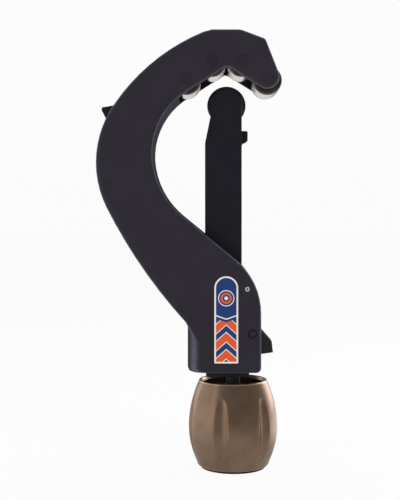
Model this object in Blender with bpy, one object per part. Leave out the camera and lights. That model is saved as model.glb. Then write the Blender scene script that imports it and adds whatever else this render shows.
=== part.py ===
# Quick-acting tubing cutter: C-frame with four rollers, sliding wheel carrier, feed screw,
# release latch with half nut, fold-away reamer and a fluted knob with a cap.
# The origin is the centre of the knob's flat base, on the feed screw's axis. +Z runs up the
# screw, +X is the open side of the C-frame, and Y is the axis of every roller and pivot.

import math

import bmesh
import bpy
from mathutils import Matrix, Vector

mm = 0.001

# Clearances
SEAT_GAP = 0.3 * mm
SLIDING_GAP = 0.3 * mm
PIN_GAP = 0.25 * mm
RUNNING_GAP = 0.4 * mm

# How far a cutting body runs past the faces that it opens
OVERRUN = 5.0 * mm

# Frame casting
FRAME_THICKNESS = 38.0 * mm
FRAME_EDGE_ROUND = 2.2 * mm
HEAD_TOP_Z = 215.6 * mm
HEAD_FLAT_LEFT_X = -10.7 * mm
HEAD_FLAT_RIGHT_X = 3.2 * mm
HEAD_CORNER_DROP = 4.5 * mm
HEAD_CORNER = (15.2 * mm, HEAD_TOP_Z - HEAD_CORNER_DROP)
CHEEK_TIP_TOP_DROP = 21.3 * mm
CHEEK_TIP_TOP = (21.8 * mm, HEAD_TOP_Z - CHEEK_TIP_TOP_DROP)
CHEEK_TIP_BOTTOM_DROP = 27.85 * mm
CHEEK_TIP_BOTTOM = (13.0 * mm, HEAD_TOP_Z - CHEEK_TIP_BOTTOM_DROP)
CHEEK_TIP_RADIUS = 5.9 * mm
VEE_DEPTH = 17.7 * mm
VEE_APEX_Z = HEAD_TOP_Z - VEE_DEPTH
VEE_LEFT_END_DROP = 31.6 * mm
VEE_LEFT_END = (-25.2 * mm, HEAD_TOP_Z - VEE_LEFT_END_DROP)
CORNER_ROUND = 2.5 * mm
HEAD_FLAT_ROUND = 6.0 * mm
BACK_LOWER_START = (-62.0 * mm, 129.75 * mm)
BACK_HEIGHT_SHARE = 0.584
BACK_UPPER_START_DROP = 1.2 * mm
BACK_UPPER_START = (-15.05 * mm, HEAD_TOP_Z - BACK_UPPER_START_DROP)
BACK_UPPER_RADIUS = 97.2 * mm
BACK_UPPER_END_X = -57.7 * mm
BACK_RADIUS = 49.1 * mm
BACK_LOWER_RADIUS = 249.5 * mm
BACK_LOWER_END = (-23.6 * mm, 73.9 * mm)
THROAT_LOWER_END = (-24.7 * mm, 125.0 * mm)
THROAT_LOWER_RADIUS = 40.2 * mm
THROAT_MIDDLE_X = -39.6 * mm
THROAT_HEIGHT_SHARE = 0.488
THROAT_UPPER_RADIUS = 35.9 * mm
SHOULDER_START = (0.65 * mm, 104.2 * mm)
SHOULDER_RADIUS = 33.7 * mm
SHOULDER_END_Z = 78.0 * mm

# Lower housing of the frame
HOUSING_BOTTOM_Z = 49.2 * mm
HOUSING_BLEND_Z = 80.0 * mm
HOUSING_LEFT_X = -22.5 * mm
HOUSING_RIGHT_X = 13.15 * mm
HOUSING_SPINE_ROUND = 8.0 * mm
HOUSING_FLUSH_STEP = 0.03 * mm
ARM_FADE_Z = 58.0 * mm

# Rollers and the wheel's line of cut
CUT_AXIS_X = -3.3 * mm
ROLLER_DIAMETER = 14.2 * mm
ROLLER_LENGTH = 27.0 * mm
ROLLER_EDGE_CHAMFER = 0.6 * mm
ROLLER_PIN_DIAMETER = 5.0 * mm
INNER_ROLLER_OFFSET = 7.35 * mm
INNER_ROLLER_DROP = 15.1 * mm
INNER_ROLLER_Z = HEAD_TOP_Z - INNER_ROLLER_DROP
OUTER_ROLLER_OFFSET = 19.9 * mm
OUTER_ROLLER_DROP = 24.0 * mm
OUTER_ROLLER_Z = HEAD_TOP_Z - OUTER_ROLLER_DROP
PIN_RECESS = 0.15 * mm
PIN_CHAMFER = 0.3 * mm
CHANNEL_RUNOUT = 30.0 * mm

# Slide with its clevis
SLIDE_LEFT_X = -13.95 * mm
SLIDE_RIGHT_X = 4.05 * mm
SLIDE_WIDTH = 18.0 * mm
SLIDE_WEB = 3.0 * mm
SLIDE_FLANGE = 2.8 * mm
WHEEL_DROP = 35.4 * mm
WHEEL_Z = HEAD_TOP_Z - WHEEL_DROP
SLIDE_HEAD_RADIUS = 7.8 * mm
SLIDE_NECK_DROP = 4.9 * mm
SLIDE_NECK = (-11.1 * mm, WHEEL_Z - SLIDE_NECK_DROP)
SLIDE_TAPER_DROP = 18.7 * mm
SLIDE_TAPER_Z = WHEEL_Z - SLIDE_TAPER_DROP
WEB_TOP_DROP = 11.9 * mm
WEB_TOP_Z = WHEEL_Z - WEB_TOP_DROP
SLIDE_EDGE_ROUND = 0.5 * mm
SLIDE_HEAD_WRAP = math.asin(0.1)

# Cutter wheel
WHEEL_DIAMETER = 19.2 * mm
WHEEL_EDGE_DEPTH = 2.6 * mm
WHEEL_THICKNESS = 2.2 * mm
WHEEL_HUB_DIAMETER = 8.0 * mm
WHEEL_HUB_WIDTH = 5.2 * mm
WHEEL_PIN_DIAMETER = 4.0 * mm

# Thrust block and feed screw
BLOCK_PLATE_HEIGHT = 3.0 * mm
BLOCK_BOTTOM_Z = HOUSING_BOTTOM_Z - SLIDING_GAP - BLOCK_PLATE_HEIGHT
BLOCK_RIGHT_X = 7.7 * mm
BLOCK_PLUG_HEIGHT = 8.5 * mm
BLOCK_PLUG_INSET = 0.35 * mm
BLOCK_PLUG_ROOT = 1.5 * mm
BLOCK_PLATE_INSET = 0.4 * mm
BLOCK_EDGE_ROUND = 0.3 * mm
BLOCK_PIN_DIAMETER = 2.5 * mm
BLOCK_PIN_X = -7.4 * mm
SCREW_DIAMETER = 7.0 * mm
SCREW_TOP_DROP = 22.7 * mm
SCREW_TOP_Z = WHEEL_Z - SCREW_TOP_DROP
SCREW_END_CHAMFER = 1.0 * mm
SCREW_BOTTOM_Z = 8.3 * mm
FLANGE_DIAMETER = 10.0 * mm
FLANGE_HEIGHT = 1.3 * mm
WASHER_THICKNESS = 0.8 * mm
RING_THICKNESS = 0.8 * mm
RING_DIAMETER = 11.0 * mm
RING_GROOVE_DEPTH = 0.6 * mm

# Travel stop on the slide
STOP_TOP_DROP = 13.0 * mm
STOP_TOP_Z = WHEEL_Z - STOP_TOP_DROP
STOP_HEIGHT = 8.6 * mm
STOP_BOTTOM_Z = STOP_TOP_Z - STOP_HEIGHT
STOP_REACH_X = 7.1 * mm
STOP_LUG_LOW_RISE = 2.3 * mm
STOP_LUG_LOW_Z = STOP_BOTTOM_Z + STOP_LUG_LOW_RISE
STOP_LUG_TIP_RISE = 3.8 * mm
STOP_LUG_TIP_Z = STOP_BOTTOM_Z + STOP_LUG_TIP_RISE
STOP_CORNER = 0.5 * mm
STOP_PIN_X = CUT_AXIS_X
STOP_PIN_DIAMETER = 3.0 * mm

# Latch, half nut and spring
LATCH_PIVOT_X = 8.85 * mm
LATCH_PIVOT_Z = 68.3 * mm
LATCH_PIN_DIAMETER = 4.0 * mm
LATCH_WIDTH = 10.8 * mm
LATCH_ARM_LEFT_X = 5.4 * mm
LATCH_ARM_THICKNESS = 2.0 * mm
LATCH_ARM_TOP_Z = 84.5 * mm
LATCH_BOSS_RADIUS = 3.6 * mm
LATCH_BOSS_SHOULDER = (0.7, 0.9)
LATCH_ARM_BLEND = 1.6
LATCH_EDGE_ROUND = 0.5 * mm
LATCH_SIDE_GAP = 0.5 * mm
LATCH_SWING_X = 2.4 * mm
LATCH_SWING_Z = 1.5 * mm
LATCH_CAVITY_OVERLAP = 1.0 * mm
THUMB_WINDOW_GAP = 3.0 * mm
THUMB_TOP = (13.6 * mm, 69.2 * mm)
THUMB_CORNER = (19.1 * mm, 63.0 * mm)
THUMB_FOOT = (19.7 * mm, 57.5 * mm)
THUMB_HEEL = (14.2 * mm, 56.7 * mm)
THUMB_INNER = (8.6 * mm, 57.2 * mm)
HALF_NUT_LEFT_X = 0.6 * mm
HALF_NUT_BOTTOM_Z = 73.5 * mm
HALF_NUT_TOP_Z = 84.2 * mm
SPRING_PIN_X = 6.4 * mm
SPRING_PIN_Z = 89.9 * mm
SPRING_PIN_DIAMETER = 2.2 * mm
SPRING_PIN_BORE = 1.1 * mm
SPRING_STRIP = 0.5 * mm
SPRING_STRIP_WIDTH = 7.0 * mm
SPRING_TIP_RISE = 2.5 * mm
SPRING_EYE_TURN = math.radians(270.0)
SPRING_EYE_STEPS = 14

# Reamer blade in the spine
REAMER_PIVOT_ANGLE = math.radians(192.4)
REAMER_TIP_ANGLE = math.radians(141.5)
REAMER_OUTER_INSET = 1.2 * mm
REAMER_BLADE_WIDTH = 7.2 * mm
REAMER_THICKNESS = 3.0 * mm
REAMER_SLOT_EXTRA_ANGLE = math.radians(13.0)
REAMER_TIP_WIDTH = 3.0 * mm
REAMER_TAB_HEIGHT = 7.4 * mm
REAMER_TAB_PEAK_ANGLE = math.radians(149.4)
REAMER_TAB_FOOT_ANGLE = math.radians(155.3)
REAMER_TAB_CREST_ANGLE = math.radians(1.4)
REAMER_TAB_CREST_DROP = 0.5 * mm
REAMER_TAB_FOOT_STEP = math.radians(1.5)
REAMER_NOSE_ANGLE = math.radians(4.0)
REAMER_HEEL_STEPS = 8
REAMER_SLOT_FLOOR_GAP = 0.5 * mm
REAMER_SLOT_TIP_ANGLE = math.radians(1.0)
REAMER_SLOT_RUNOUT = 8.0 * mm
REAMER_PIN_DIAMETER = 3.0 * mm

# Knob
KNOB_TOP_Z = 43.6 * mm
KNOB_RIM_RADIUS = 16.8 * mm
KNOB_MAX_RADIUS = 22.1 * mm
KNOB_MAX_Z = 20.5 * mm
KNOB_BASE_RADIUS = 17.0 * mm
KNOB_BASE_Z = 0.9 * mm
KNOB_BASE_ROUND = 2.0 * mm
KNOB_WALL = 2.4 * mm
KNOB_LIP_ROUND = 0.8 * mm
KNOB_CUP_FLOOR_Z = 33.0 * mm
KNOB_CUP_FLOOR_ROUND = 3.0 * mm
KNOB_HUB_RADIUS = 6.2 * mm
KNOB_HUB_TOP_Z = 36.0 * mm
KNOB_RECESS_RADIUS = 12.5 * mm
KNOB_RECESS_TOP_Z = 12.2 * mm
FLUTE_COUNT = 6
FLUTE_DEPTH = 1.8 * mm
FLUTE_HALF_ANGLE = math.radians(9.5)
FLUTE_LOW_Z = 7.6 * mm
FLUTE_HIGH_Z = 36.4 * mm
FLUTE_FIRST_ANGLE = math.radians(-107.0)
FLUTE_WIDTH_FADE = 0.3
FLUTE_DEPTH_FADE = 0.5
CAP_RADIUS = 16.0 * mm
CAP_CHAMFER = 0.2 * mm
CAP_SPIGOT_HEIGHT = 1.0 * mm
NUT_ACROSS_CORNERS = 12.6 * mm
NUT_HEIGHT = 2.6 * mm

# Facets
ARC_STEP = math.radians(7.5)
ARC_TOLERANCE = 0.055 * mm
ROUND_SEGMENTS = 32
SMALL_SEGMENTS = 18
KNOB_SEGMENTS = 84
KNOB_ROWS = 9
CUP_WALL_ROWS = 2
# Middle point of a rounding drawn in two steps, as a share of its radius from the corner
ROUND_MIDDLE = 0.3
SHARP_ANGLE = math.radians(35.0)


def clear_scene():
    for obj in list(bpy.data.objects):
        bpy.data.objects.remove(obj, do_unlink=True)


def make_material(name, color, roughness, metallic):
    material = bpy.data.materials.new(name)
    material.use_nodes = True
    shader = material.node_tree.nodes["Principled BSDF"]
    shader.inputs["Base Color"].default_value = (*color, 1.0)
    shader.inputs["Roughness"].default_value = roughness
    shader.inputs["Metallic"].default_value = metallic
    return material


def add_object(name, bm, material=None, origin=(0.0, 0.0, 0.0)):
    """Turn a bmesh drawn in world coordinates into an object whose origin is at origin."""
    bmesh.ops.translate(bm, vec=-Vector(origin), verts=bm.verts)
    bmesh.ops.recalc_face_normals(bm, faces=bm.faces)
    mesh = bpy.data.meshes.new(name)
    bm.to_mesh(mesh)
    bm.free()
    mesh.shade_smooth()
    mesh.set_sharp_from_angle(angle=SHARP_ANGLE)
    obj = bpy.data.objects.new(name, mesh)
    obj.location = origin
    bpy.context.scene.collection.objects.link(obj)
    if material is not None:
        mesh.materials.append(material)
    return obj


def boolean(target, tool, operation="DIFFERENCE"):
    """Cut or join with the tool, which stays as a hidden construction body."""
    tool.hide_render = True
    tool.display_type = "WIRE"
    modifier = target.modifiers.new(tool.name, "BOOLEAN")
    modifier.operation = operation
    modifier.solver = "EXACT"
    modifier.object = tool


def arc_points(start, end, radius):
    """Points after start up to end on an arc; a positive radius turns left, a negative right."""
    start = Vector(start)
    end = Vector(end)
    chord = end - start
    size = abs(radius)
    height = math.sqrt(max(size * size - (chord.length / 2.0) ** 2, 0.0))
    left = Vector((-chord.y, chord.x)).normalized()
    centre = (start + end) / 2.0 + left * math.copysign(height, radius)
    first = start - centre
    sweep = 2.0 * math.asin(min(chord.length / (2.0 * size), 1.0)) * math.copysign(1.0, radius)
    finest = 2.0 * math.acos(1.0 - ARC_TOLERANCE / size)
    count = max(2, math.ceil(abs(sweep) / min(finest, ARC_STEP * 3.0)))
    points = []
    for index in range(1, count + 1):
        angle = sweep * index / count
        turned = Matrix.Rotation(angle, 2) @ first
        points.append(tuple(centre + turned))
    return points


def corner_points(before, corner, after, radius):
    """Points of the round that replaces a corner between two straight lines."""
    corner = Vector(corner)
    to_before = (Vector(before) - corner).normalized()
    to_after = (Vector(after) - corner).normalized()
    half = to_before.angle(to_after) / 2.0
    reach = radius / math.tan(half)
    start = corner + to_before * reach
    end = corner + to_after * reach
    turn = -to_before.x * to_after.y + to_before.y * to_after.x
    return [tuple(start)] + arc_points(start, end, math.copysign(radius, turn))


def prism(outline, y_low, y_high, round_size=0.0, round_segments=2):
    """Extrude an X-Z outline along Y and round the rims of both faces."""
    bm = bmesh.new()
    low = [bm.verts.new((x, y_low, z)) for x, z in outline]
    high = [bm.verts.new((x, y_high, z)) for x, z in outline]
    bm.faces.new(low)
    bm.faces.new(list(reversed(high)))
    count = len(outline)
    for index in range(count):
        after = (index + 1) % count
        bm.faces.new((low[index], high[index], high[after], low[after]))
    bmesh.ops.recalc_face_normals(bm, faces=bm.faces)
    if round_size > 0.0:
        rims = [edge for edge in bm.edges if edge.verts[0].co.y == edge.verts[1].co.y]
        bmesh.ops.bevel(
            bm,
            geom=rims,
            offset=round_size,
            offset_type="OFFSET",
            segments=round_segments,
            profile=0.5,
            affect="EDGES",
            clamp_overlap=True,
        )
    return bm


def turned(profile, segments, axis="Z", centre=(0.0, 0.0, 0.0), radius_change=None, first_angle=0.0):
    """Revolve a closed loop of (radius, height) points; a radius of 0 becomes a pole."""
    bm = bmesh.new()
    rings = []
    for radius, height in profile:
        if radius <= 0.0:
            rings.append([bm.verts.new((0.0, 0.0, height))])
            continue
        ring = []
        for index in range(segments):
            angle = first_angle + 2.0 * math.pi * index / segments
            size = radius
            if radius_change is not None:
                size = radius_change(radius, height, angle)
            ring.append(bm.verts.new((size * math.cos(angle), size * math.sin(angle), height)))
        rings.append(ring)
    for index, ring in enumerate(rings):
        following = rings[(index + 1) % len(rings)]
        for step in range(segments):
            after = (step + 1) % segments
            corners = [ring[step % len(ring)], ring[after % len(ring)]]
            corners += [following[after % len(following)], following[step % len(following)]]
            unique = list(dict.fromkeys(corners))
            if len(unique) > 2:
                bm.faces.new(unique)
    bmesh.ops.recalc_face_normals(bm, faces=bm.faces)
    if axis == "Y":
        bmesh.ops.rotate(bm, matrix=Matrix.Rotation(math.radians(-90.0), 3, "X"), verts=bm.verts)
    bmesh.ops.translate(bm, vec=Vector(centre), verts=bm.verts)
    return bm


def cylinder(radius, low, high, segments=ROUND_SEGMENTS, axis="Z", centre=(0.0, 0.0, 0.0)):
    profile = [(0.0, low), (radius, low), (radius, high), (0.0, high)]
    return turned(profile, segments, axis, centre)


def box(x_low, x_high, y_low, y_high, z_low, z_high, round_size=0.0, round_segments=2):
    bm = bmesh.new()
    bmesh.ops.create_cube(bm, size=1.0)
    size = Vector((x_high - x_low, y_high - y_low, z_high - z_low))
    middle = Vector((x_high + x_low, y_high + y_low, z_high + z_low)) / 2.0
    bmesh.ops.scale(bm, vec=size, verts=bm.verts)
    bmesh.ops.translate(bm, vec=middle, verts=bm.verts)
    if round_size > 0.0:
        bmesh.ops.bevel(
            bm,
            geom=list(bm.edges),
            offset=round_size,
            offset_type="OFFSET",
            segments=round_segments,
            profile=0.5,
            affect="EDGES",
            clamp_overlap=True,
        )
    return bm


def roller_centres():
    """The four roller axes in X-Z, from the spine side to the nose."""
    return [
        (CUT_AXIS_X - OUTER_ROLLER_OFFSET, OUTER_ROLLER_Z),
        (CUT_AXIS_X - INNER_ROLLER_OFFSET, INNER_ROLLER_Z),
        (CUT_AXIS_X + INNER_ROLLER_OFFSET, INNER_ROLLER_Z),
        (CUT_AXIS_X + OUTER_ROLLER_OFFSET, OUTER_ROLLER_Z),
    ]


def back_upper_end():
    """Where the spine's main arc meets the upper one, at a share of the head's height."""
    rise = HEAD_TOP_Z - BACK_LOWER_START[1]
    return (BACK_UPPER_END_X, BACK_LOWER_START[1] + BACK_HEIGHT_SHARE * rise)


def throat_middle():
    """Innermost point of the throat, at a share of the throat's height."""
    rise = VEE_LEFT_END[1] - THROAT_LOWER_END[1]
    return (THROAT_MIDDLE_X, THROAT_LOWER_END[1] + THROAT_HEIGHT_SHARE * rise)


def back_centre():
    """Centre of the spine's main arc, which the reamer and its slot follow."""
    start = Vector(back_upper_end())
    end = Vector(BACK_LOWER_START)
    chord = end - start
    height = math.sqrt(BACK_RADIUS**2 - (chord.length / 2.0) ** 2)
    left = Vector((-chord.y, chord.x)).normalized()
    return (start + end) / 2.0 + left * height


def on_back(radius, angle):
    """A point at a radius and angle about the centre of the spine's main arc."""
    centre = back_centre()
    return (centre.x + radius * math.cos(angle), centre.y + radius * math.sin(angle))


def frame_outline():
    """Side outline of the arm and head, run with the metal on the left."""
    head_left = (HEAD_FLAT_LEFT_X, HEAD_TOP_Z)
    head_right = (HEAD_FLAT_RIGHT_X, HEAD_TOP_Z)
    apex = (CUT_AXIS_X, VEE_APEX_Z)
    fade_x = HOUSING_LEFT_X + HOUSING_SPINE_ROUND
    shoulder_end = (HOUSING_RIGHT_X, SHOULDER_END_Z)
    foot_left = (fade_x, HOUSING_BOTTOM_Z)
    foot_right = (HOUSING_RIGHT_X, HOUSING_BOTTOM_Z)
    points = corner_points(foot_left, foot_right, shoulder_end, CORNER_ROUND)
    points.append(shoulder_end)
    points += arc_points(shoulder_end, SHOULDER_START, SHOULDER_RADIUS)
    points.append(THROAT_LOWER_END)
    points += arc_points(THROAT_LOWER_END, throat_middle(), -THROAT_LOWER_RADIUS)
    points += arc_points(throat_middle(), VEE_LEFT_END, -THROAT_UPPER_RADIUS)
    points += corner_points(VEE_LEFT_END, apex, CHEEK_TIP_BOTTOM, CORNER_ROUND)
    points.append(CHEEK_TIP_BOTTOM)
    points += arc_points(CHEEK_TIP_BOTTOM, CHEEK_TIP_TOP, CHEEK_TIP_RADIUS)
    points += corner_points(CHEEK_TIP_TOP, HEAD_CORNER, head_right, CORNER_ROUND)
    points += corner_points(HEAD_CORNER, head_right, head_left, HEAD_FLAT_ROUND)
    points += [head_left, BACK_UPPER_START]
    points += arc_points(BACK_UPPER_START, back_upper_end(), BACK_UPPER_RADIUS)
    points += arc_points(back_upper_end(), BACK_LOWER_START, BACK_RADIUS)
    points += arc_points(BACK_LOWER_START, BACK_LOWER_END, BACK_LOWER_RADIUS)
    points += [(fade_x, ARM_FADE_Z), foot_left]
    return points


def housing_block():
    """Barrel-rounded lower housing, all but flush with the arm's faces."""
    left = HOUSING_LEFT_X
    right = SLIDE_RIGHT_X
    half = FRAME_THICKNESS / 2.0 - HOUSING_FLUSH_STEP
    bottom = HOUSING_BOTTOM_Z + HOUSING_FLUSH_STEP
    spine = HOUSING_SPINE_ROUND
    corners = [(right, -half), (right, half)]
    corners += corner_points((right, half), (left, half), (left, -half), spine)
    corners += corner_points((left, half), (left, -half), (right, -half), spine)
    bm = bmesh.new()
    low = [bm.verts.new((x, y, bottom)) for x, y in corners]
    high = [bm.verts.new((x, y, HOUSING_BLEND_Z)) for x, y in corners]
    bm.faces.new(low)
    bm.faces.new(list(reversed(high)))
    for index in range(len(corners)):
        after = (index + 1) % len(corners)
        bm.faces.new((low[index], high[index], high[after], low[after]))
    bmesh.ops.recalc_face_normals(bm, faces=bm.faces)
    top = (HOUSING_BLEND_Z + bottom) / 2.0
    foot = [edge for edge in bm.edges if max(vert.co.z for vert in edge.verts) < top]
    bmesh.ops.bevel(
        bm,
        geom=foot,
        offset=FRAME_EDGE_ROUND,
        offset_type="OFFSET",
        segments=2,
        profile=0.5,
        affect="EDGES",
        clamp_overlap=True,
    )
    return bm


def roller_channel_outline():
    """Pocket between the cheeks: a belt round the rollers, open below and at the nose."""
    centres = roller_centres()
    reach = ROLLER_DIAMETER / 2.0 + 2.0 * RUNNING_GAP
    slope = math.atan2(INNER_ROLLER_Z - OUTER_ROLLER_Z, OUTER_ROLLER_OFFSET - INNER_ROLLER_OFFSET)
    points = []

    def around(centre, first_angle, last_angle):
        count = max(1, math.ceil(abs(last_angle - first_angle) / ARC_STEP))
        for index in range(count + 1):
            angle = first_angle + (last_angle - first_angle) * index / count
            x = centre[0] + reach * math.cos(angle)
            points.append((x, centre[1] + reach * math.sin(angle)))

    quarter = math.pi / 2.0
    nose = (centres[3][0] + reach * math.sin(slope), centres[3][1] + reach * math.cos(slope))
    points.append(
        (nose[0] + CHANNEL_RUNOUT * math.cos(slope), nose[1] - CHANNEL_RUNOUT * math.sin(slope))
    )
    around(centres[2], quarter - slope, quarter)
    around(centres[1], quarter, quarter + slope)
    around(centres[0], quarter + slope, math.pi + slope)
    last = points[-1]
    points.append(
        (last[0] + CHANNEL_RUNOUT * math.sin(slope), last[1] - CHANNEL_RUNOUT * math.cos(slope))
    )
    return points


def latch_cavity_outline():
    """Slot open to the right and below for the thumb piece, with a closed pocket above it."""
    left = SLIDE_RIGHT_X - LATCH_CAVITY_OVERLAP
    outside = HOUSING_RIGHT_X + 2.0 * OVERRUN
    window_top = THUMB_TOP[1] + THUMB_WINDOW_GAP
    swing_x = LATCH_ARM_LEFT_X + LATCH_ARM_THICKNESS + LATCH_SWING_X
    swing_z = LATCH_ARM_TOP_Z + LATCH_SWING_Z
    eye = SPRING_PIN_DIAMETER / 2.0 + PIN_GAP + SPRING_STRIP + RUNNING_GAP
    return [
        (left, HOUSING_BOTTOM_Z - OVERRUN),
        (outside, HOUSING_BOTTOM_Z - OVERRUN),
        (outside, window_top),
        (swing_x, window_top),
        (swing_x, swing_z),
        (SPRING_PIN_X + eye, swing_z),
        (SPRING_PIN_X + eye, SPRING_PIN_Z + eye),
        (left, SPRING_PIN_Z + eye),
    ]


def reamer_radii():
    outer = BACK_RADIUS - REAMER_OUTER_INSET
    inner = outer - REAMER_BLADE_WIDTH
    return outer, inner, (outer + inner) / 2.0


def reamer_pivot():
    return on_back(reamer_radii()[2], REAMER_PIVOT_ANGLE)


def sector(radius, first_angle, last_angle):
    count = max(1, math.ceil(abs(last_angle - first_angle) / ARC_STEP))
    step = (last_angle - first_angle) / count
    return [on_back(radius, first_angle + step * index) for index in range(count + 1)]


def reamer_slot_outline():
    inner = reamer_radii()[1] - REAMER_SLOT_FLOOR_GAP
    outside = BACK_RADIUS + REAMER_SLOT_RUNOUT
    first = REAMER_TIP_ANGLE - REAMER_SLOT_TIP_ANGLE
    last = REAMER_PIVOT_ANGLE + REAMER_SLOT_EXTRA_ANGLE
    return sector(outside, first, last) + sector(inner, last, first)


def make_frame(material):
    half = FRAME_THICKNESS / 2.0
    deep = half + OVERRUN
    arm = prism(frame_outline(), -half, half, FRAME_EDGE_ROUND, 3)
    frame = add_object("frame", arm, material)
    boolean(frame, add_object("housing_body", housing_block()), "UNION")
    channel = ROLLER_LENGTH / 2.0 + SLIDING_GAP
    boolean(frame, add_object("roller_channel", prism(roller_channel_outline(), -channel, channel)))
    passage = box(
        SLIDE_LEFT_X - SLIDING_GAP,
        SLIDE_RIGHT_X + SLIDING_GAP,
        -SLIDE_WIDTH / 2.0 - SLIDING_GAP,
        SLIDE_WIDTH / 2.0 + SLIDING_GAP,
        HOUSING_BOTTOM_Z - 2.0 * OVERRUN,
        THROAT_LOWER_END[1] + OVERRUN,
    )
    boolean(frame, add_object("slide_passage", passage))
    slot = LATCH_WIDTH / 2.0 + LATCH_SIDE_GAP
    boolean(frame, add_object("latch_cavity", prism(latch_cavity_outline(), -slot, slot)))
    reamer_slot = REAMER_THICKNESS / 2.0 + RUNNING_GAP
    cutter = prism(reamer_slot_outline(), -reamer_slot, reamer_slot)
    boolean(frame, add_object("reamer_slot", cutter))
    pin_holes = [(centre, ROLLER_PIN_DIAMETER) for centre in roller_centres()]
    pin_holes.append(((LATCH_PIVOT_X, LATCH_PIVOT_Z), LATCH_PIN_DIAMETER))
    pin_holes.append(((SPRING_PIN_X, SPRING_PIN_Z), SPRING_PIN_DIAMETER))
    pin_holes.append((reamer_pivot(), REAMER_PIN_DIAMETER))
    for index, (place, diameter) in enumerate(pin_holes):
        hole = cylinder(
            diameter / 2.0 + PIN_GAP,
            -deep,
            deep,
            SMALL_SEGMENTS,
            "Y",
            (place[0], 0.0, place[1]),
        )
        boolean(frame, add_object("pin_hole_%d" % (index + 1), hole))
    return frame


def cross_pin(name, diameter, place, length, material, bore=0.0):
    """A plain or hollow pin along Y with chamfered ends."""
    radius = diameter / 2.0
    half = length / 2.0
    chamfer = min(PIN_CHAMFER, radius / 4.0)
    outside = [(radius - chamfer, -half), (radius, -half + chamfer)]
    outside += [(radius, half - chamfer), (radius - chamfer, half)]
    if bore > 0.0:
        profile = [(bore / 2.0, -half)] + outside + [(bore / 2.0, half)]
    else:
        profile = [(0.0, -half)] + outside + [(0.0, half)]
    centre = (place[0], 0.0, place[1])
    return add_object(name, turned(profile, SMALL_SEGMENTS, "Y", centre), material, centre)


def make_rollers(roller_material, pin_material):
    radius = ROLLER_DIAMETER / 2.0
    half = ROLLER_LENGTH / 2.0
    chamfer = ROLLER_EDGE_CHAMFER
    bore = ROLLER_PIN_DIAMETER / 2.0 + SLIDING_GAP
    profile = [
        (bore, -half),
        (radius - chamfer, -half),
        (radius, -half + chamfer),
        (radius, half - chamfer),
        (radius - chamfer, half),
        (bore, half),
    ]
    rollers = []
    for index, (x, z) in enumerate(roller_centres()):
        centre = (x, 0.0, z)
        number = index + 1
        bm = turned(profile, ROUND_SEGMENTS, "Y", centre)
        rollers.append(add_object("roller_%d" % number, bm, roller_material, centre))
        length = FRAME_THICKNESS - 2.0 * PIN_RECESS
        cross_pin("roller_pin_%d" % number, ROLLER_PIN_DIAMETER, (x, z), length, pin_material)
    return rollers


def slide_outline():
    """Side outline of the slide: straight bar, tapered neck and a round head on the wheel axis."""
    bottom = BLOCK_BOTTOM_Z + BLOCK_PLATE_HEIGHT + SEAT_GAP
    reach = SLIDE_RIGHT_X - CUT_AXIS_X
    head_right_z = WHEEL_Z + math.sqrt(SLIDE_HEAD_RADIUS**2 - reach**2)
    points = [(SLIDE_LEFT_X, bottom), (SLIDE_RIGHT_X, bottom), (SLIDE_RIGHT_X, head_right_z)]
    first = math.atan2(head_right_z - WHEEL_Z, reach)
    last = math.pi + SLIDE_HEAD_WRAP
    count = math.ceil((last - first) / ARC_STEP)
    for index in range(1, count + 1):
        angle = first + (last - first) * index / count
        x = CUT_AXIS_X + SLIDE_HEAD_RADIUS * math.cos(angle)
        points.append((x, WHEEL_Z + SLIDE_HEAD_RADIUS * math.sin(angle)))
    points += [SLIDE_NECK, (SLIDE_LEFT_X, SLIDE_TAPER_Z)]
    return points


def channel_half_width():
    return SLIDE_WIDTH / 2.0 - SLIDE_FLANGE


def make_slide(material):
    half = SLIDE_WIDTH / 2.0
    slide = add_object("slide", prism(slide_outline(), -half, half, SLIDE_EDGE_ROUND, 1), material)
    inner = channel_half_width()
    web = SLIDE_LEFT_X + SLIDE_WEB
    outside = SLIDE_RIGHT_X + 2.0 * OVERRUN
    low = BLOCK_BOTTOM_Z
    high = WHEEL_Z + 2.0 * SLIDE_HEAD_RADIUS
    boolean(slide, add_object("slide_channel", box(web, outside, -inner, inner, low, high)))
    left = SLIDE_LEFT_X - OVERRUN
    boolean(slide, add_object("wheel_slot", box(left, outside, -inner, inner, WEB_TOP_Z, high)))
    holes = [
        ((CUT_AXIS_X, WHEEL_Z), WHEEL_PIN_DIAMETER),
        ((STOP_PIN_X, stop_pin_z()), STOP_PIN_DIAMETER),
        ((BLOCK_PIN_X, block_pin_z()), BLOCK_PIN_DIAMETER),
    ]
    for index, (place, diameter) in enumerate(holes):
        hole = cylinder(
            diameter / 2.0 + PIN_GAP,
            -SLIDE_WIDTH,
            SLIDE_WIDTH,
            SMALL_SEGMENTS,
            "Y",
            (place[0], 0.0, place[1]),
        )
        boolean(slide, add_object("slide_hole_%d" % (index + 1), hole))
    return slide


def stop_pin_z():
    return (STOP_BOTTOM_Z + STOP_TOP_Z) / 2.0


def block_pin_z():
    return BLOCK_BOTTOM_Z + BLOCK_PLATE_HEIGHT + BLOCK_PLUG_HEIGHT / 2.0


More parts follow.
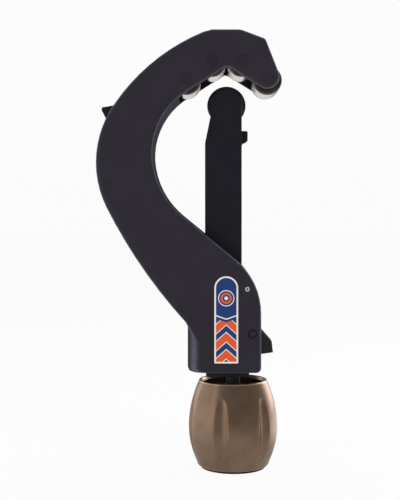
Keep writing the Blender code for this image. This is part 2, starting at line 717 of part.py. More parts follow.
def make_travel_stop(material, pin_material):
    inner = channel_half_width() - SEAT_GAP
    left = SLIDE_LEFT_X + SLIDE_WEB + SEAT_GAP
    lug = SLIDE_RIGHT_X + SEAT_GAP
    outline = [
        (left, STOP_BOTTOM_Z),
        (SLIDE_RIGHT_X, STOP_BOTTOM_Z),
        (lug, STOP_LUG_LOW_Z),
        (STOP_REACH_X, STOP_LUG_TIP_Z),
        (STOP_REACH_X, STOP_TOP_Z - STOP_CORNER),
        (STOP_REACH_X - STOP_CORNER, STOP_TOP_Z),
        (left, STOP_TOP_Z),
    ]
    stop = add_object("travel_stop", prism(outline, -inner, inner), material)
    place = (STOP_PIN_X, stop_pin_z())
    hole = cylinder(
        STOP_PIN_DIAMETER / 2.0 + PIN_GAP,
        -SLIDE_WIDTH,
        SLIDE_WIDTH,
        SMALL_SEGMENTS,
        "Y",
        (place[0], 0.0, place[1]),
    )
    boolean(stop, add_object("stop_hole", hole))
    length = SLIDE_WIDTH - 2.0 * PIN_RECESS
    pin = cross_pin("travel_stop_pin", STOP_PIN_DIAMETER, place, length, pin_material)
    return [stop, pin]


def make_cutter_wheel(name, material, centre, axis="Y"):
    """Disc with a vee edge, a flat web and a hub either side."""
    radius = WHEEL_DIAMETER / 2.0
    web = WHEEL_THICKNESS / 2.0
    shoulder = radius - WHEEL_EDGE_DEPTH
    hub = WHEEL_HUB_DIAMETER / 2.0
    width = WHEEL_HUB_WIDTH / 2.0
    bore = WHEEL_PIN_DIAMETER / 2.0 + SLIDING_GAP
    profile = [
        (bore, -width),
        (hub, -width),
        (hub, -web),
        (shoulder, -web),
        (radius, 0.0),
        (shoulder, web),
        (hub, web),
        (hub, width),
        (bore, width),
    ]
    return add_object(name, turned(profile, ROUND_SEGMENTS, axis, centre), material, centre)


def make_wheel_mounting(pin_material, spacer_material):
    place = (CUT_AXIS_X, WHEEL_Z)
    length = SLIDE_WIDTH - 2.0 * PIN_RECESS
    parts = [cross_pin("wheel_pin", WHEEL_PIN_DIAMETER, place, length, pin_material)]
    inner = WHEEL_HUB_WIDTH / 2.0 + SEAT_GAP
    outer = channel_half_width() - SEAT_GAP
    bore = WHEEL_PIN_DIAMETER / 2.0 + PIN_GAP
    rim = WHEEL_HUB_DIAMETER / 2.0
    for name, side in (("wheel_spacer_near", -1.0), ("wheel_spacer_far", 1.0)):
        ends = sorted((side * inner, side * outer))
        profile = [(bore, ends[0]), (rim, ends[0]), (rim, ends[1]), (bore, ends[1])]
        centre = (CUT_AXIS_X, 0.0, WHEEL_Z)
        bm = turned(profile, SMALL_SEGMENTS, "Y", centre)
        parts.append(add_object(name, bm, spacer_material))
    return parts


def screw_radius():
    return SCREW_DIAMETER / 2.0


def make_thrust_block(material, pin_material):
    """Foot of the slide: a plate outside the bar and a plug pinned between its flanges."""
    half = SLIDE_WIDTH / 2.0
    plate_top = BLOCK_BOTTOM_Z + BLOCK_PLATE_HEIGHT
    left = SLIDE_LEFT_X + BLOCK_PLATE_INSET
    plate = box(left, BLOCK_RIGHT_X, -half, half, BLOCK_BOTTOM_Z, plate_top, BLOCK_EDGE_ROUND, 1)
    block = add_object("thrust_block", plate, material)
    inner = channel_half_width() - SEAT_GAP
    plug = box(
        SLIDE_LEFT_X + SLIDE_WEB + SEAT_GAP,
        SLIDE_RIGHT_X - BLOCK_PLUG_INSET,
        -inner,
        inner,
        BLOCK_BOTTOM_Z + BLOCK_PLUG_ROOT,
        plate_top + BLOCK_PLUG_HEIGHT,
    )
    boolean(block, add_object("block_plug", plug), "UNION")
    bore = cylinder(screw_radius() + SLIDING_GAP, 0.0, 2.0 * plate_top, ROUND_SEGMENTS)
    boolean(block, add_object("block_bore", bore))
    counterbore = cylinder(
        FLANGE_DIAMETER / 2.0 + RUNNING_GAP,
        0.0,
        BLOCK_BOTTOM_Z + counterbore_depth(),
        ROUND_SEGMENTS,
    )
    boolean(block, add_object("block_counterbore", counterbore))
    place = (BLOCK_PIN_X, block_pin_z())
    hole = cylinder(
        BLOCK_PIN_DIAMETER / 2.0 + PIN_GAP,
        -SLIDE_WIDTH,
        SLIDE_WIDTH,
        SMALL_SEGMENTS,
        "Y",
        (place[0], 0.0, place[1]),
    )
    boolean(block, add_object("block_hole", hole))
    length = SLIDE_WIDTH - 2.0 * PIN_RECESS
    pin = cross_pin("block_pin", BLOCK_PIN_DIAMETER, place, length, pin_material)
    return [block, pin]


def counterbore_depth():
    return FLANGE_HEIGHT + WASHER_THICKNESS + 3.0 * SEAT_GAP


def washer(name, low, thickness, inner, outer, material):
    profile = [(inner, low), (outer, low), (outer, low + thickness), (inner, low + thickness)]
    return add_object(name, turned(profile, ROUND_SEGMENTS), material)


def make_feed_screw(material, washer_material, ring_material):
    radius = screw_radius()
    flange_low = BLOCK_BOTTOM_Z + SEAT_GAP
    flange_high = flange_low + FLANGE_HEIGHT
    ring_low = BLOCK_BOTTOM_Z + BLOCK_PLATE_HEIGHT + BLOCK_PLUG_HEIGHT + SEAT_GAP
    groove_low = ring_low - SEAT_GAP
    groove_high = ring_low + RING_THICKNESS + SEAT_GAP
    groove = radius - RING_GROOVE_DEPTH
    chamfer = SCREW_END_CHAMFER
    profile = [
        (0.0, SCREW_BOTTOM_Z),
        (radius - chamfer, SCREW_BOTTOM_Z),
        (radius, SCREW_BOTTOM_Z + chamfer),
        (radius, flange_low),
        (FLANGE_DIAMETER / 2.0, flange_low),
        (FLANGE_DIAMETER / 2.0, flange_high),
        (radius, flange_high),
        (radius, groove_low),
        (groove, groove_low),
        (groove, groove_high),
        (radius, groove_high),
        (radius, SCREW_TOP_Z - chamfer),
        (radius - chamfer, SCREW_TOP_Z),
        (0.0, SCREW_TOP_Z),
    ]
    screw = add_object("feed_screw", turned(profile, ROUND_SEGMENTS), material)
    thrust = washer(
        "thrust_washer",
        flange_high + SEAT_GAP,
        WASHER_THICKNESS,
        radius + SLIDING_GAP,
        FLANGE_DIAMETER / 2.0,
        washer_material,
    )
    ring = washer(
        "retaining_ring",
        ring_low,
        RING_THICKNESS,
        groove + PIN_GAP,
        RING_DIAMETER / 2.0,
        ring_material,
    )
    return screw, thrust, ring


def knob_radius(z):
    """Barrel curve of the knob: a parabola either side of its fullest height."""
    if z < KNOB_MAX_Z:
        share = (KNOB_MAX_Z - z) / (KNOB_MAX_Z - KNOB_BASE_Z)
        return KNOB_MAX_RADIUS - (KNOB_MAX_RADIUS - KNOB_BASE_RADIUS) * share**2
    share = (z - KNOB_MAX_Z) / (KNOB_TOP_Z - KNOB_MAX_Z)
    return KNOB_MAX_RADIUS - (KNOB_MAX_RADIUS - KNOB_RIM_RADIUS) * share**2


def flute_depth(z, angle):
    """Depth of the finger flutes: hollow scoops that run out in rounded ends."""
    if not FLUTE_LOW_Z < z < FLUTE_HIGH_Z:
        return 0.0
    pitch = 2.0 * math.pi / FLUTE_COUNT
    offset = (angle - FLUTE_FIRST_ANGLE + pitch / 2.0) % pitch - pitch / 2.0
    swell = math.sin(math.pi * (z - FLUTE_LOW_Z) / (FLUTE_HIGH_Z - FLUTE_LOW_Z))
    across = offset / (FLUTE_HALF_ANGLE * swell**FLUTE_WIDTH_FADE)
    return FLUTE_DEPTH * swell**FLUTE_DEPTH_FADE * max(1.0 - across**2, 0.0)


def fluted(radius, z, angle):
    if radius < knob_radius(z) - KNOB_WALL / 2.0:
        return radius
    return radius - flute_depth(z, angle)


def knob_profile():
    base_round = KNOB_BASE_ROUND
    lip = KNOB_LIP_ROUND
    low = KNOB_BASE_Z + base_round
    high = KNOB_TOP_Z - lip
    points = [(KNOB_RECESS_RADIUS, KNOB_BASE_Z), (KNOB_BASE_RADIUS - base_round, KNOB_BASE_Z)]
    points.append((knob_radius(low) - ROUND_MIDDLE * base_round, KNOB_BASE_Z + ROUND_MIDDLE * base_round))
    for index in range(KNOB_ROWS + 1):
        z = low + (high - low) * index / KNOB_ROWS
        points.append((knob_radius(z), z))
    rim = knob_radius(high)
    points.append((rim - ROUND_MIDDLE * lip, KNOB_TOP_Z - ROUND_MIDDLE * lip))
    points.append((rim - lip, KNOB_TOP_Z))
    points.append((rim - KNOB_WALL + ROUND_MIDDLE * lip, KNOB_TOP_Z - ROUND_MIDDLE * lip))
    floor_high = KNOB_CUP_FLOOR_Z + KNOB_CUP_FLOOR_ROUND
    for index in range(CUP_WALL_ROWS + 1):
        z = high + (floor_high - high) * index / CUP_WALL_ROWS
        points.append((knob_radius(z) - KNOB_WALL, z))
    inner = knob_radius(floor_high) - KNOB_WALL
    bend = ROUND_MIDDLE * KNOB_CUP_FLOOR_ROUND
    points.append((inner - bend, KNOB_CUP_FLOOR_Z + bend))
    points.append((inner - KNOB_CUP_FLOOR_ROUND, KNOB_CUP_FLOOR_Z))
    bore = screw_radius() + SEAT_GAP
    points += [(KNOB_HUB_RADIUS, KNOB_CUP_FLOOR_Z), (KNOB_HUB_RADIUS, KNOB_HUB_TOP_Z)]
    points += [(bore, KNOB_HUB_TOP_Z), (bore, KNOB_RECESS_TOP_Z)]
    points.append((KNOB_RECESS_RADIUS, KNOB_RECESS_TOP_Z))
    return points


def hexagonal(radius, height, angle):
    """Turns the outer wall of a nut into six flats."""
    if radius < NUT_ACROSS_CORNERS / 2.0:
        return radius
    pitch = math.pi / 3.0
    offset = angle % pitch - pitch / 2.0
    return radius * math.cos(pitch / 2.0) / math.cos(offset)


def make_knob(knob_material, cap_material, nut_material):
    knob = turned(knob_profile(), KNOB_SEGMENTS, radius_change=fluted, first_angle=FLUTE_FIRST_ANGLE)
    parts = [add_object("knob", knob, knob_material)]
    disc = KNOB_BASE_Z - SEAT_GAP
    spigot = KNOB_RECESS_RADIUS - SEAT_GAP
    top = KNOB_BASE_Z + CAP_SPIGOT_HEIGHT
    profile = [(0.0, 0.0), (CAP_RADIUS - CAP_CHAMFER, 0.0), (CAP_RADIUS, CAP_CHAMFER), (CAP_RADIUS, disc)]
    profile += [(spigot, disc), (spigot, top), (0.0, top)]
    parts.append(add_object("knob_cap", turned(profile, ROUND_SEGMENTS), cap_material))
    high = KNOB_RECESS_TOP_Z - SEAT_GAP
    low = high - NUT_HEIGHT
    bore = screw_radius() + PIN_GAP
    corner = NUT_ACROSS_CORNERS / 2.0
    profile = [(bore, low), (corner, low), (corner, high), (bore, high)]
    nut = turned(profile, SMALL_SEGMENTS, radius_change=hexagonal)
    parts.append(add_object("knob_nut", nut, nut_material))
    return parts


def latch_outline():
    """Lever seen from the side: arm up along the half nut, pivot boss and thumb piece."""
    left = LATCH_ARM_LEFT_X
    right = left + LATCH_ARM_THICKNESS
    boss = LATCH_BOSS_RADIUS
    across, up = LATCH_BOSS_SHOULDER
    points = [(left, LATCH_ARM_TOP_Z), (left, LATCH_PIVOT_Z), THUMB_INNER, THUMB_HEEL, THUMB_FOOT]
    points += [THUMB_CORNER, THUMB_TOP, (LATCH_PIVOT_X + boss * across, LATCH_PIVOT_Z + boss * up)]
    points += [(LATCH_PIVOT_X, LATCH_PIVOT_Z + boss), (right, LATCH_PIVOT_Z + boss * LATCH_ARM_BLEND)]
    points.append((right, LATCH_ARM_TOP_Z))
    return points


def spring_outline():
    """Leaf spring with an eye round the hollow pin and a straight blade down the lever's back."""
    centre = Vector((SPRING_PIN_X, SPRING_PIN_Z))
    inner = SPRING_PIN_DIAMETER / 2.0 + PIN_GAP
    outer = inner + SPRING_STRIP
    low = HALF_NUT_BOTTOM_Z + SPRING_TIP_RISE
    points = [(centre.x + inner, low), (centre.x + outer, low)]
    turn = SPRING_EYE_TURN
    count = SPRING_EYE_STEPS
    for index in range(count + 1):
        angle = turn * index / count
        points.append((centre.x + outer * math.cos(angle), centre.y + outer * math.sin(angle)))
    for index in range(count + 1):
        angle = turn * (1.0 - index / count)
        points.append((centre.x + inner * math.cos(angle), centre.y + inner * math.sin(angle)))
    return points


def make_latch(latch_material, nut_material, pin_material, spring_material):
    half = LATCH_WIDTH / 2.0
    pivot = (LATCH_PIVOT_X, 0.0, LATCH_PIVOT_Z)
    lever = prism(latch_outline(), -half, half, LATCH_EDGE_ROUND, 1)
    latch = add_object("latch", lever, latch_material, pivot)
    hole = cylinder(
        LATCH_PIN_DIAMETER / 2.0 + PIN_GAP,
        -FRAME_THICKNESS,
        FRAME_THICKNESS,
        SMALL_SEGMENTS,
        "Y",
        pivot,
    )
    boolean(latch, add_object("latch_hole", hole))
    right = LATCH_ARM_LEFT_X - SEAT_GAP
    body = box(HALF_NUT_LEFT_X, right, -half, half, HALF_NUT_BOTTOM_Z, HALF_NUT_TOP_Z)
    half_nut = add_object("half_nut", body, nut_material, pivot)
    bore = cylinder(screw_radius() + SLIDING_GAP, 0.0, 2.0 * HALF_NUT_TOP_Z, ROUND_SEGMENTS)
    boolean(half_nut, add_object("nut_bore", bore))
    length = FRAME_THICKNESS - 2.0 * PIN_RECESS
    pivot_place = (LATCH_PIVOT_X, LATCH_PIVOT_Z)
    cross_pin("latch_pin", LATCH_PIN_DIAMETER, pivot_place, length, pin_material)
    spring_place = (SPRING_PIN_X, SPRING_PIN_Z)
    cross_pin("spring_pin", SPRING_PIN_DIAMETER, spring_place, length, pin_material, SPRING_PIN_BORE)
    strip = SPRING_STRIP_WIDTH / 2.0
    add_object("latch_spring", prism(spring_outline(), -strip, strip), spring_material)
    return [latch, half_nut]


def reamer_outline():
    """Curved blade that follows the spine, with a round heel and a thumb tab at its tip."""
    outer, inner, middle = reamer_radii()
    heel = REAMER_BLADE_WIDTH / 2.0
    peak = BACK_RADIUS - REAMER_OUTER_INSET + REAMER_TAB_HEIGHT
    crest = REAMER_TAB_PEAK_ANGLE + REAMER_TAB_CREST_ANGLE
    points = [on_back(outer - REAMER_TIP_WIDTH, REAMER_TIP_ANGLE), on_back(outer, REAMER_TIP_ANGLE)]
    points += [on_back(peak, REAMER_TAB_PEAK_ANGLE), on_back(peak - REAMER_TAB_CREST_DROP, crest)]
    points.append(on_back(BACK_RADIUS, REAMER_TAB_FOOT_ANGLE))
    first = REAMER_TAB_FOOT_ANGLE + REAMER_TAB_FOOT_STEP
    points += sector(outer, first, REAMER_PIVOT_ANGLE)
    pivot = Vector(reamer_pivot())
    for index in range(1, REAMER_HEEL_STEPS):
        angle = REAMER_PIVOT_ANGLE + math.pi * index / REAMER_HEEL_STEPS
        points.append((pivot.x + heel * math.cos(angle), pivot.y + heel * math.sin(angle)))
    points += sector(inner, REAMER_PIVOT_ANGLE, REAMER_TAB_FOOT_ANGLE + REAMER_NOSE_ANGLE)
    return points


def make_reamer(blade_material, pin_material):
    half = REAMER_THICKNESS / 2.0
    place = reamer_pivot()
    centre = (place[0], 0.0, place[1])
    reamer = add_object("reamer", prism(reamer_outline(), -half, half), blade_material, centre)
    hole = cylinder(
        REAMER_PIN_DIAMETER / 2.0 + PIN_GAP,
        -FRAME_THICKNESS,
        FRAME_THICKNESS,
        SMALL_SEGMENTS,
        "Y",
        centre,
    )
    boolean(reamer, add_object("reamer_hole", hole))
    length = FRAME_THICKNESS - 2.0 * PIN_RECESS
    cross_pin("reamer_pin", REAMER_PIN_DIAMETER, place, length, pin_material)
    return reamer


def joint_empty(name, place, children, parent=None):
    """Parent moving pieces to an empty on their joint's axis, keeping them where they are."""
    empty = bpy.data.objects.new(name, None)
    bpy.context.scene.collection.objects.link(empty)
    empty.location = place
    if parent is not None:
        empty.parent = parent
        empty.location = Vector(place) - parent.location
    for child in children:
        child.parent = empty
        child.location = child.location - Vector(place)
    return empty


def build():
    clear_scene()
    powder_coat = make_material("powder_coat", (0.030, 0.027, 0.036), 0.55, 0.0)
    blackened = make_material("blackened_steel", (0.016, 0.016, 0.019), 0.42, 0.6)
    chrome = make_material("chrome", (0.75, 0.72, 0.70), 0.15, 1.0)
    bright = make_material("bright_steel", (0.45, 0.44, 0.43), 0.30, 1.0)
    bronze_paint = make_material("bronze_paint", (0.20, 0.13, 0.08), 0.38, 0.7)
    black_plastic = make_material("black_plastic", (0.012, 0.012, 0.013), 0.5, 0.0)
    brass = make_material("brass", (0.55, 0.38, 0.13), 0.3, 1.0)

    make_frame(powder_coat)
    make_rollers(chrome, blackened)
    reamer = make_reamer(blackened, blackened)
    latch_parts = make_latch(blackened, brass, blackened, bright)

    wheel = make_cutter_wheel("cutter_wheel", blackened, (CUT_AXIS_X, 0.0, WHEEL_Z))
    slide_parts = [make_slide(blackened), wheel]
    slide_parts += make_travel_stop(blackened, blackened)
    slide_parts += make_wheel_mounting(blackened, bright)
    slide_parts += make_thrust_block(blackened, blackened)
    screw, thrust, ring = make_feed_screw(bright, brass, blackened)
    slide_parts.append(thrust)
    knob_parts = make_knob(bronze_paint, black_plastic, bright)

    slide_axis = joint_empty("slide_axis", (0.0, 0.0, 0.0), slide_parts)
    joint_empty("screw_axis", (0.0, 0.0, KNOB_TOP_Z), [screw, ring] + knob_parts, slide_axis)
    pivot = (LATCH_PIVOT_X, 0.0, LATCH_PIVOT_Z)
    joint_empty("latch_axis", pivot, latch_parts)
    place = reamer_pivot()
    joint_empty("reamer_axis", (place[0], 0.0, place[1]), [reamer])


build()
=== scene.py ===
import math

import bmesh
import bpy
from mathutils import Matrix, Vector


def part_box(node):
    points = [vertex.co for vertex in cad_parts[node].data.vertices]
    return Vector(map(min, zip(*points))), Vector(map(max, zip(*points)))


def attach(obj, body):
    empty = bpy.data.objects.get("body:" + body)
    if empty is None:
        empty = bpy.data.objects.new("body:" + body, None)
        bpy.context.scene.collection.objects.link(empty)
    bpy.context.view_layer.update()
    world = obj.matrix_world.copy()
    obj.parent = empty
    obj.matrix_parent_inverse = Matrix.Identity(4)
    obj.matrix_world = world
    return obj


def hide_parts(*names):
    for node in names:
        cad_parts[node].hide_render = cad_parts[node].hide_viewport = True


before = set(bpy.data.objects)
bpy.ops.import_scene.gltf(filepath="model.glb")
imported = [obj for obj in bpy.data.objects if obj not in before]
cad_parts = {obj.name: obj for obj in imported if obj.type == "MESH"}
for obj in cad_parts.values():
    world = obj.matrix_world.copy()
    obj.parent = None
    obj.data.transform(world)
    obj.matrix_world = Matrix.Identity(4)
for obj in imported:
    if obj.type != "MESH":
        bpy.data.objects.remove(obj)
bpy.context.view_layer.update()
mm = 0.001

# Camera, measured for the photograph's frame
CAMERA_PLACE = (-0.0165, -0.513, 0.1291)
CAMERA_LENS = 73.8
CAMERA_SENSOR = 36.0
FRAME_HEIGHT_PX = 500.0
EYE_LINE_PX = 208.0

# Round pieces, cut finer than their solids
FINE_SEGMENTS = 96
PIN_SEGMENTS = 48

# Pins
PIN_FILL = 0.24 * mm
PIN_DOME = 0.10 * mm
PIN_EDGE = 0.15 * mm
PAINTED_PIN_EDGE = 0.05 * mm

# Frame's rounded edges, between its walls and its two flat faces, where the coat carries a painted
# highlight
ROUND_WALL_Y = 14.4 * mm
ROUND_PALE_Y = 17.3 * mm
ROUND_FADE_Y = 18.7 * mm

# Rollers
ROLLER_CHAMFER = 0.6 * mm
ROLLER_BORE = 5.6 * mm
# Half length of the bright round; past it the rollers carry painted shade.
ROLLER_GROUND_HALF = 9.6 * mm
ROLLER_CROWN_LENGTH = 5.0 * mm
ROLLER_CROWN_DROP = 0.3 * mm

ROLLER_MOUTH = 0.3 * mm

# Latch pin's dimples and the hollow pin
DIMPLE_RADIUS = 1.2 * mm
DIMPLE_DEPTH = 0.9 * mm
SPRING_PIN_WALL = 0.5 * mm
SPRING_PIN_GAP = math.radians(16.0)

# Cutter wheel
WHEEL_EDGE_DEPTH = 2.6 * mm
WHEEL_THICKNESS = 2.2 * mm
WHEEL_HUB = 8.0 * mm
WHEEL_BORE = 4.6 * mm

# Feed screw
SCREW_DIAMETER = 7.0 * mm
SCREW_CHAMFER = 1.0 * mm
THREAD_LEAD = 2.0 * mm
THREAD_DEPTH = 0.75 * mm
THREAD_START_Z = 61.0 * mm
THREAD_SEGMENTS = 48
FLANGE_HEIGHT = 1.3 * mm
RING_GROOVE_DEPTH = 0.6 * mm
SEAT_GAP = 0.3 * mm

# Knob
KNOB_TOP_Z = 43.6 * mm
KNOB_RIM_RADIUS = 16.8 * mm
KNOB_MAX_RADIUS = 22.08 * mm
KNOB_MAX_Z = 20.5 * mm
KNOB_BASE_RADIUS = 17.0 * mm
KNOB_BASE_Z = 0.9 * mm
KNOB_BASE_ROUND = 2.0 * mm
KNOB_WALL = 2.4 * mm
KNOB_LIP_ROUND = 0.8 * mm
KNOB_CUP_FLOOR_Z = 33.0 * mm
KNOB_CUP_FLOOR_ROUND = 3.0 * mm
KNOB_HUB_RADIUS = 6.2 * mm
KNOB_HUB_TOP_Z = 40.4 * mm
KNOB_RECESS_RADIUS = 12.5 * mm
KNOB_RECESS_TOP_Z = 12.2 * mm
KNOB_ROWS = 72
KNOB_SEGMENTS = 360
FLUTE_COUNT = 6
FLUTE_DEPTH = 1.8 * mm
FLUTE_HALF_ANGLE = math.radians(9.5)
FLUTE_LOW_Z = 7.6 * mm
FLUTE_HIGH_Z = 36.4 * mm
FLUTE_FIRST_ANGLE = math.radians(-107.0)
FLUTE_WIDTH_FADE = 0.3
FLUTE_DEPTH_FADE = 0.5

# Decal on the housing's near face
DECAL_THICKNESS = 0.12 * mm
DECAL_LEFT_X = -9.6 * mm
DECAL_RIGHT_X = 1.9 * mm
DECAL_BOTTOM_Z = 54.2 * mm
DECAL_SHOULDER_Z = 91.0 * mm
DECAL_TOP_Z = 96.2 * mm
DECAL_BORDER = 0.8 * mm
DECAL_CORNER = 0.5 * mm
DECAL_ARCH_STEPS = 12
CHEVRON_PITCH = 8.2 * mm
CHEVRON_SLOPE = 0.9
CHEVRON_LOW = 2.4 * mm
CHEVRON_HIGH = 6.6 * mm
CHEVRON_LINE = 0.5 * mm
CHEVRONS_END_Z = 74.0 * mm
DIVIDER_Z = 75.2 * mm
DIVIDER_WIDTH = 0.6 * mm
DIVIDER_SLOPE = 0.35
DIAL_Z = 85.6 * mm


# Shader arithmetic

class Flow:
    """One output socket, so that sums on values read as ordinary arithmetic."""

    def __init__(self, nodes, socket):
        self.nodes = nodes
        self.socket = socket

    def __add__(self, other):
        return self.nodes.math("ADD", self, other)

    def __sub__(self, other):
        return self.nodes.math("SUBTRACT", self, other)

    def __mul__(self, other):
        return self.nodes.math("MULTIPLY", self, other)

    def __radd__(self, other):
        return self.nodes.math("ADD", other, self)

    def __rsub__(self, other):
        return self.nodes.math("SUBTRACT", other, self)

    def __rmul__(self, other):
        return self.nodes.math("MULTIPLY", other, self)

    def __mod__(self, other):
        return self.nodes.math("FLOORED_MODULO", self, other)

    def __abs__(self):
        return self.nodes.math("ABSOLUTE", self)


class Nodes:
    """A node tree with short ways to add and join its nodes."""

    def __init__(self, tree):
        self.tree = tree

    def plug(self, socket, value):
        if isinstance(value, Flow):
            self.tree.links.new(value.socket, socket)
        elif isinstance(value, tuple) and socket.type == "RGBA":
            socket.default_value = (*value, 1.0)
        else:
            socket.default_value = value

    def node(self, kind, settings=None, inputs=None, output=0):
        """Add a node: its settings come first, then the values or links of its sockets."""
        node = self.tree.nodes.new(kind)
        for name, value in (settings or {}).items():
            setattr(node, name, value)
        for key, value in (inputs or {}).items():
            self.plug(node.inputs[key], value)
        return Flow(self, node.outputs[output]) if node.outputs else node

    def math(self, operation, first, second=0.0):
        return self.node("ShaderNodeMath", {"operation": operation}, {0: first, 1: second})

    def vector_math(self, operation, inputs, output=0):
        return self.node("ShaderNodeVectorMath", {"operation": operation}, inputs, output)

    def place(self):
        return self.node("ShaderNodeTexCoord", output="Object")

    def along(self, axis):
        """One coordinate of a point on the object at rest, in metres."""
        return self.node("ShaderNodeSeparateXYZ", None, {0: self.place()}, axis)

    def stretched(self, scale):
        """The point's coordinates times scale, for grain that runs one way."""
        return self.vector_math("MULTIPLY", {0: self.place(), 1: scale})

    def joined(self, x, y, z):
        return self.node("ShaderNodeCombineXYZ", None, {0: x, 1: y, 2: z})

    def noise(self, scale, detail=2.0, roughness=0.5, vector=None):
        """Soft noise between 0 and 1, with scale in cells to the metre."""
        vector = vector or self.place()
        inputs = {"Vector": vector, "Scale": scale, "Detail": detail, "Roughness": roughness}
        return self.node("ShaderNodeTexNoise", None, inputs)

    def ease(self, value, low, high):
        """0 below low, 1 above high and smooth between."""
        settings = {"interpolation_type": "SMOOTHSTEP"}
        return self.node("ShaderNodeMapRange", settings, {0: value, 1: low, 2: high})

    def blend(self, factor, first, second):
        """Mix of two colours."""
        settings = {"data_type": "RGBA"}
        return self.node("ShaderNodeMix", settings, {0: factor, 6: first, 7: second}, 2)

    def dimmed(self, color, level):
        """A colour times a level."""
        return self.vector_math("SCALE", {0: color, "Scale": level})

    def edges(self, radius):
        """1 where the surface turns within radius, and 0 on its flats."""
        rounded = self.node("ShaderNodeBevel", {"samples": 6}, {"Radius": radius})
        true = self.node("ShaderNodeNewGeometry", output="Normal")
        turn = self.vector_math("DOT_PRODUCT", {0: rounded, 1: true}, "Value")
        return self.ease(1.0 - turn, 0.02, 0.12)

    def seen(self, mirrored):
        """1 for rays that see the studio directly or through glass, mirrored in a reflection."""
        camera = self.node("ShaderNodeLightPath", output="Is Camera Ray")
        glossy = self.node("ShaderNodeLightPath", output="Is Glossy Ray")
        through = self.node("ShaderNodeLightPath", output="Is Transmission Ray")
        return self.node("ShaderNodeClamp", None, {0: camera + mirrored * glossy + through})


class Finish(Nodes):
    """A material made of one Principled shader."""

    def __init__(self, name, **constants):
        self.material = bpy.data.materials.new(name)
        self.material.use_nodes = True
        super().__init__(self.material.node_tree)
        self.shader = self.tree.nodes["Principled BSDF"]
        self.set(**constants)

    def set(self, **values):
        """Give the shader's sockets, named like coat_weight, their values or links."""
        sockets = {socket.name.lower().replace(" ", "_"): socket for socket in self.shader.inputs}
        for name, value in values.items():
            self.plug(sockets[name], value)

    def relief(self, height, depth):
        """Bump whose full height, 1, stands depth metres proud."""
        self.set(normal=self.node("ShaderNodeBump", None, {"Height": height, "Distance": depth}))


# Finishes

def powder_coat(name, color, scuff_and_highlight):
    """Fine-textured charcoal powder coat, with a painted highlight: paler along the band of its
    rounded edges.
    """
    finish = Finish(name, specular_ior_level=0.0, coat_weight=0.14, coat_roughness=0.32)
    peel = finish.noise(1500.0, 3.0, 0.6)
    cloud = finish.noise(60.0, 3.0, 0.5)
    speck = finish.ease(finish.noise(4200.0, 1.0), 0.60, 0.74)
    # Painted highlight: a pale band on the rounded edges, from the walls to the flat faces, broken
    # up by noise.
    side = abs(finish.along("Y"))
    band = finish.ease(side, ROUND_WALL_Y, ROUND_PALE_Y)
    band = band * (1.0 - finish.ease(side, ROUND_PALE_Y, ROUND_FADE_Y))
    corner = band * (0.6 + 0.4 * finish.ease(finish.noise(420.0, 3.0), 0.30, 0.62))
    dusty = finish.blend(finish.ease(cloud, 0.3, 0.7) * 0.5, color, tuple(1.25 * c for c in color))
    dotted = finish.blend(speck * 0.35, dusty, tuple(2.2 * c for c in color))
    finish.set(base_color=finish.blend(corner * 0.6, dotted, scuff_and_highlight))
    finish.set(roughness=0.40 + 0.10 * cloud + 0.06 * peel - 0.06 * corner)
    finish.relief(peel * 0.8 + speck * 0.2, 0.035 * mm)
    return finish.material


def turned_metal(name, color, axis, roughness, metallic):
    """Lathe-turned metal: fine rings that run round the piece, closely spaced along its axis."""
    finish = Finish(name, metallic=metallic)
    rings = finish.noise(5200.0, 3.0, 0.6, finish.joined(0.0, finish.along(axis), 0.0))
    cloud = finish.noise(240.0, 3.0)
    finish.set(base_color=finish.blend(cloud * 0.6, color, tuple(0.72 * c for c in color)))
    finish.set(roughness=roughness + 0.08 * rings + 0.08 * cloud)
    finish.relief(rings, 0.006 * mm)
    return finish.material


def black_oxide(name, color, roughness, metallic):
    """Satin black oxide on steel, paler on its edges and creases, with faint drawn lines along the
    piece.
    """
    finish = Finish(name, specular_ior_level=0.0, coat_weight=0.14, coat_roughness=0.3)
    finish.set(metallic=metallic)
    drawn = finish.noise(1.0, 3.0, 0.6, finish.stretched((2600.0, 2600.0, 90.0)))
    cloud = finish.noise(110.0, 4.0, 0.6)
    # Paler where the surface turns, broken up by noise.
    corner = finish.edges(0.35 * mm) * finish.ease(cloud, 0.35, 0.6)
    base = finish.blend(cloud * 0.7, color, tuple(1.7 * c for c in color))
    finish.set(base_color=finish.blend(corner * 0.5, base, (0.16, 0.155, 0.16)))
    finish.set(roughness=roughness + 0.12 * cloud + 0.06 * drawn - 0.05 * corner)
    finish.relief(drawn, 0.01 * mm)
    return finish.material


